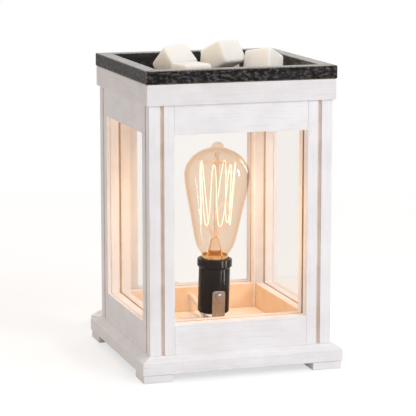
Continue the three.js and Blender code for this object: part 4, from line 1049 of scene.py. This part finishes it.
def at_pinch(tip):
    """The point on the stem's pinch under a tip."""
    outward = Vector((tip.x, tip.y, 0)).normalized()
    return outward * pinch_radius + Vector((0, 0, cap_top + pinch_level))


lead_overlap = Vector((0, 0, 2 * mm))
leads = meshed(wire("filament_leads", [[at_pinch(tip), tip + lead_overlap] for tip in ends],
                    lead_radius, hook_metal, 6, smooth=False))
fitted(leant(leads), "bulb", "tungsten", "bulb_filament")

# Hooks: thin wires of molybdenum sealed in the glass of the stem, bent round the ends of the
# hairpins, so that they hold the filament taut.
hub_level = cap_top + stem_hub + 1.6 * mm
shoulder_level = cap_top + 17 * mm


def hook(level, tip, rise):
    """A wire from a level of the stem out to a bend of the filament."""
    outward = Vector((tip.x, tip.y, 0)).normalized()
    start = outward * rod_radius + Vector((0, 0, level))
    knee = (start + tip) / 2 + Vector((0, 0, rise))
    return [start, knee, tip]


upper_tips = [cage(turn, cage_top - 1.6 * mm) for turn in top_turns]
lower_tips = [cage(turn, cage_bottom + 0.6 * mm) for turn in bottom_turns]
for name, level, tips, rise in (("upper_hooks", hub_level, upper_tips, 1.5 * mm),
                                ("lower_hooks", shoulder_level, lower_tips, 0)):
    hooks = meshed(wire(name, [hook(level, tip, rise) for tip in tips], hook_radius,
                        hook_metal, 6))
    fitted(leant(hooks), "bulb", "steel", f"bulb_{name}")

# Bulb glass: blown in a mould to a pear shape, sealed at the tip where the air was drawn off. It
# is clear; the glow of the light inside is painted into it as a peach tint, deeper at a slant.
bulb_radius = 32.2 * mm
glass_height = 111.3 * mm
glass_wall = 0.9 * mm
glass_shares = (
    (0.404, 0), (0.466, 0.025), (0.553, 0.066), (0.606, 0.107), (0.677, 0.19), (0.786, 0.353),
    (0.907, 0.518), (0.978, 0.626), (1, 0.7), (0.984, 0.749), (0.938, 0.791), (0.851, 0.831),
    (0.736, 0.872), (0.54, 0.913), (0.373, 0.934))
tip_shares = ((0.373, 0.934), (0.3, 0.943), (0.225, 0.948), (0.203, 0.953), (0.196, 0.962),
              (0.176, 0.975), (0.13, 0.989), (0.07, 0.998), (0, 1))


def through(points, steps):
    """A smooth line through points, with a few steps from each to the next."""
    ends = [points[0], *points, points[-1]]
    line = []
    for a, b, c, d in zip(ends, ends[1:], ends[2:], ends[3:]):
        for i in range(steps):
            t = i / steps
            line.append([0.5 * (2 * q + (r - p) * t + (2 * p - 5 * q + 4 * r - s) * t * t
                         + (3 * q - p - 3 * r + s) * t ** 3) for p, q, r, s in zip(a, b, c, d)])
    return line


bulb_glass = clear_glass("clear blown glass with its own light painted in amber", "#fdf7f1", "#f9e6d3", 0.02,
                         0.35)
neck_radius = 12.2 * mm
glass_start = cap_top + 0.3 * mm
glass_line = [(neck_radius, cap_top - 4 * mm), (neck_radius, cap_top - 1 * mm)]
glass_line += [(r * bulb_radius, glass_start + z * glass_height)
               for r, z in (*through(glass_shares, 4), *tip_shares)]
envelope = turned("bulb_glass_blown", glass_line, 56, bulb_glass)
applied(envelope, "SOLIDIFY", thickness=glass_wall, offset=-1)
alone(envelope)
bpy.ops.object.shade_smooth()
fitted(leant(envelope), "bulb", "bulb_glass", "bulb_glass")

# Tall lamps that only the glass or only the socket mirrors, as glassware is lit: the one behind
# draws the bright line on the bulb's right shoulder, the one beside a line on each side of the
# glass, and the band on the right, past the corner post, the two pale lines down the socket.
glass_alone = bpy.data.collections.new("glass of the bulb")
glass_alone.objects.link(envelope)
glass_alone.objects.link(stem)
socket_alone = bpy.data.collections.new("socket")
socket_alone.objects.link(socket)
for name, place, width, height, power, receivers in (
        ("strip behind", (0.75, 0.44, 0.33), 0.06, 0.4, 1.6, glass_alone),
        ("strip beside", (0.67, -0.26, 0.37), 0.07, 0.4, 3.4, glass_alone),
        ("band on the left", (-0.85, -0.4, 0.12), 0.3, 0.4, 3.2, socket_alone),
        ("band on the right", (0.264, -0.23, 0.05), 0.21, 0.15, 2.8, socket_alone)):
    lamp = softbox(name, place, (0, 0, 0.12), width, power, "#ffffff")
    lamp.data.shape = "RECTANGLE"
    lamp.data.size_y = height
    lamp.light_linking.receiver_collection = receivers
    lamp.visible_camera = lamp.visible_diffuse = lamp.visible_transmission = False

# The light of the filament on the wood, from the lower half of its cage, so that the floor and the
# rails get their share.
warm = bpy.data.lights.new("filament light", "POINT")
warm.shadow_soft_size = 13 * mm
warm.energy = 0.46
warm.color = linear("#ffdeba")[:3]
warm_lamp = bpy.data.objects.new("filament light", warm)
warm_lamp.location = lamp_place @ Vector((0, 0, cap_top + cage_bottom + 14 * mm))
warm_lamp.visible_camera = warm_lamp.visible_glossy = warm_lamp.visible_transmission = False
bpy.context.scene.collection.objects.link(warm_lamp)


# Cord: white plastic sheath over two conductors. Inside, it runs from the bush down behind the
# socket, where the sheath is stripped and the conductors rise to the terminals.
def moulded_plastic(name, light, dark, rough):
    """Moulded white plastic: satin, evenly coloured, with a fine spark texture. A real one is
    about 0.1 mm; it is drawn at 0.9 mm so that it shows."""
    return surface(name, {"spark": (0.9, 0.9, 2), "soil": (14, 14, 3)}, light,
                   (("soil", 0, 1, 1, dark),), ("spark", rough * 0.75, rough * 1.25),
                   ("spark", 0.2, 0.08))


def in_mm(points):
    """Points given in millimetres, in metres."""
    return [Vector(point) * mm for point in points]


sheath = moulded_plastic("extruded white cord sheath", "#f0efec", "#e2e0dc", 0.42)
cord_diameter = 4.7 * mm
cord_radius = cord_diameter / 2
inner_route = in_mm(((-2.5, 99, 44), (-2.5, 80, 44), (-2.5, 66.5, 44), (-2.3, 57, 43.2),
                     (-1.6, 46, 39.2), (-0.6, 36, 33.8), (0.2, 28, 30.6), (0.6, 21, 29.9)))
fork = ((-0.5, 1.7, 22.5, 30), (-0.7, 1.9, 20.4, 30.2), (-3, 4.6, 14.6, 30.8),
        (-5.6, 7.2, 10.8, 32.6), (-6.7, 8.2, 7.4, 36.6), (-6.9, 8.4, 5.2, 42),
        (-6.9, 8.4, 4.8, 47.4))
conductor_routes = [in_mm([(left, y, z) for left, right, y, z in fork]),
                    in_mm([(right, y, z) for left, right, y, z in fork])]
conductor_radius = 1.1 * mm
inner_sheath = meshed(wire("inner_lead_sheath", [inner_route], cord_radius, sheath, 12))
fitted(inner_sheath, "lantern", "cord", "internal_lead")
conductors = meshed(wire("inner_lead_conductors", conductor_routes, conductor_radius, sheath, 10))
fitted(conductors, "lantern", "cord", "internal_lead")

# Strain relief: a moulded bush in the back rail, its flange against the wood and its tapered nose
# ribbed so that the cord bends gently.
white_plastic = moulded_plastic("moulded white polypropylene", "#f3f2ef", "#e9e7e3", 0.38)
lead_height = 44 * mm
lead_offset = -2.5 * mm
relief_start, relief_end = [corner.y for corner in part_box("strain_relief")]
bush_radius = 3.4 * mm
flange_radius = 6 * mm
flange_back = body_half + 0.3 * mm
flange_face = body_half + 2 * mm
bore = cord_radius + 0.3 * mm
nose_radius = 4.4 * mm
tip_radius = 3.3 * mm
relief_line = [(bore, relief_start), (bush_radius, relief_start), (bush_radius, flange_back),
               (flange_radius, flange_back), (flange_radius, flange_face)]
ribs = 5
rib_depth = 0.5 * mm
rib_start = flange_face + 0.6 * mm
rib_pitch = (relief_end - rib_start) / (ribs + 0.5)
for i in range(ribs):
    at = rib_start + i * rib_pitch
    rib_radius = nose_radius + (tip_radius - nose_radius) * i / ribs
    relief_line += [(rib_radius, at), (rib_radius, at + 0.6 * rib_pitch),
                    (rib_radius - rib_depth, at + 0.68 * rib_pitch),
                    (rib_radius - rib_depth, at + 0.92 * rib_pitch)]
relief_line += [(tip_radius, relief_end - 0.4 * rib_pitch), (tip_radius, relief_end),
                (bore, relief_end), (bore, relief_start)]
relief = turned("strain_relief_moulded", relief_line, 32, white_plastic)
set_at(relief, (lead_offset, 0, lead_height), (-90, 0, 0))
eased(relief, 0.15 * mm, sharp=40)
fitted(relief, "lantern", "white_plastic", "strain_relief")


# Switch: a two-part housing moulded in white polypropylene and held by two screws, on the floor
# behind the plinth, with a rocker on trunnions and a brass contact.
def softened(name, cad_node, radius, finish=white_plastic, slot="white_plastic", body="lantern"):
    """A fitted copy of a CAD node's solid with its triangles merged and its edges rounded."""
    copy = copied(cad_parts[cad_node], name)
    copy.parent = None
    copy.data.materials.clear()
    copy.data.materials.append(finish)
    edit(copy)
    bpy.ops.mesh.select_all(action="SELECT")
    bpy.ops.mesh.remove_doubles(threshold=0.002 * mm)
    bpy.ops.mesh.dissolve_limited(angle_limit=math.radians(1))
    close()
    eased(copy, radius, segments=3, sharp=30)
    fitted(copy, body, slot, cad_node)
    return copy


softened("switch_cover_moulded", "switch_cover", 1.0 * mm)
softened("switch_base_moulded", "switch_base", 0.4 * mm)
softened("switch_rocker_moulded", "switch_rocker", 0.5 * mm, body="rocker")
for i in (1, 2):
    refinished(f"switch_screw_{i}", steel)
refinished("switch_contact", brass)

# Plug: white polypropylene moulded on the cord's end, waisted for the fingers, with two flat
# blades of brass.
plug_body = softened("plug_moulded", "plug_body", 1.2 * mm)
blades = [softened(f"plug_blade_{i}_brass", f"plug_blade_{i}", 0.3 * mm, brass, "brass")
          for i in (1, 2)]

# Free cord: from the strain relief down to the switch, then along the floor into a neat coil in
# two layers, held by a band, and out of it to the plug. Its route is in millimetres.
bend = 19
exit_x, exit_z = -2.5, 44
switch_start, switch_end = 20.9, 77.5
switch_y, switch_z = 142, 6
quarter_steps = [i / 4 * math.pi / 2 for i in range(5)]
lead_route = [(exit_x, 99.3, exit_z), (exit_x, 118, exit_z)]
lead_route += [(exit_x, switch_y - bend + bend * math.sin(a), exit_z - bend * (1 - math.cos(a)))
               for a in quarter_steps]
lead_route += [(exit_x + bend * (1 - math.cos(a)), switch_y, exit_z - bend - bend * math.sin(a))
               for a in quarter_steps[1:]]
lead_route += [(switch_start, switch_y, switch_z)]
lead_cord = wire("cord_to_switch", [in_mm(lead_route)], cord_radius, sheath, 12)
fitted(lead_cord, "lantern", "cord", "cord_lead")

coil_turns = 7.5
coil_middle = coil_turns / 2
steps_per_turn = 24
layer = 5.15
inner_radius = 18.5
outer_radius = inner_radius + layer * coil_middle
lying = 2.35
coil_floor = 3.25
turn_x = 82.2
back_step = 14.82
back_y = switch_y + 2 * bend
coil_x, coil_y = -46, back_y - outer_radius
leaving_y = coil_y - outer_radius


def smooth_step(value):
    """0 to 1 with level ends."""
    value = min(1.0, max(0.0, value))
    return value * value * (3 - 2 * value)


main_route = [(switch_end, switch_y, switch_z)]
for i in range(9):
    angle = i / 8 * math.pi
    main_route.append((turn_x + bend * math.sin(angle), switch_y + bend * (1 - math.cos(angle)),
                       switch_z + (lying - switch_z) * smooth_step(i / 8)))
main_route += [(turn_x - back_step * i, back_y, lying) for i in range(1, 7)]
main_route += [(-24.01, back_y, 2.8), (-36.6, back_y, coil_floor), (-41, back_y, coil_floor)]
for i in range(round(coil_turns * steps_per_turn) + 1):
    turn = i / steps_per_turn
    radius = inner_radius + layer * abs(coil_middle - turn)
    angle = math.pi / 2 + turn * 2 * math.pi
    main_route.append((coil_x + radius * math.cos(angle), coil_y + radius * math.sin(angle),
                       coil_floor + layer * smooth_step((turn - coil_middle + 0.25) / 0.5)))
main_route += [(x, leaving_y + off, z) for x, off, z in (
    (-41, 0, 8.4), (-36.6, 0, 8.4), (-29, 0.4, 6.6), (-20, 1.7, 4.2), (-11, 3.8, 2.9),
    (-2, 6.6, 3.4), (6, 8.6, 5.2), (11, 9.3, 6.6), (15.3, 9.5, 7), (19.7, 9.5, 7))]
main_cord = wire("cord_to_plug_coiled", [in_mm(main_route)], cord_radius, sheath, 12)
main_cord.data.resolution_u = 2
fitted(main_cord, "lantern", "cord", "cord_to_coil", "cord_coil", "cord_to_plug")


def route_length(route):
    """The length of a route through points."""
    return sum((Vector(b) - Vector(a)).length for a, b in zip(route, route[1:]))


Vector(lead_route[0]) * mm
route_length(lead_route) * mm
Vector(main_route[0]) * mm
route_length(main_route) * mm

# Coil tie: a flat band of white plastic pulled round all the turns, which keeps them in their two
# layers.
softened("coil_tie_band", "coil_tie", 0.2 * mm)
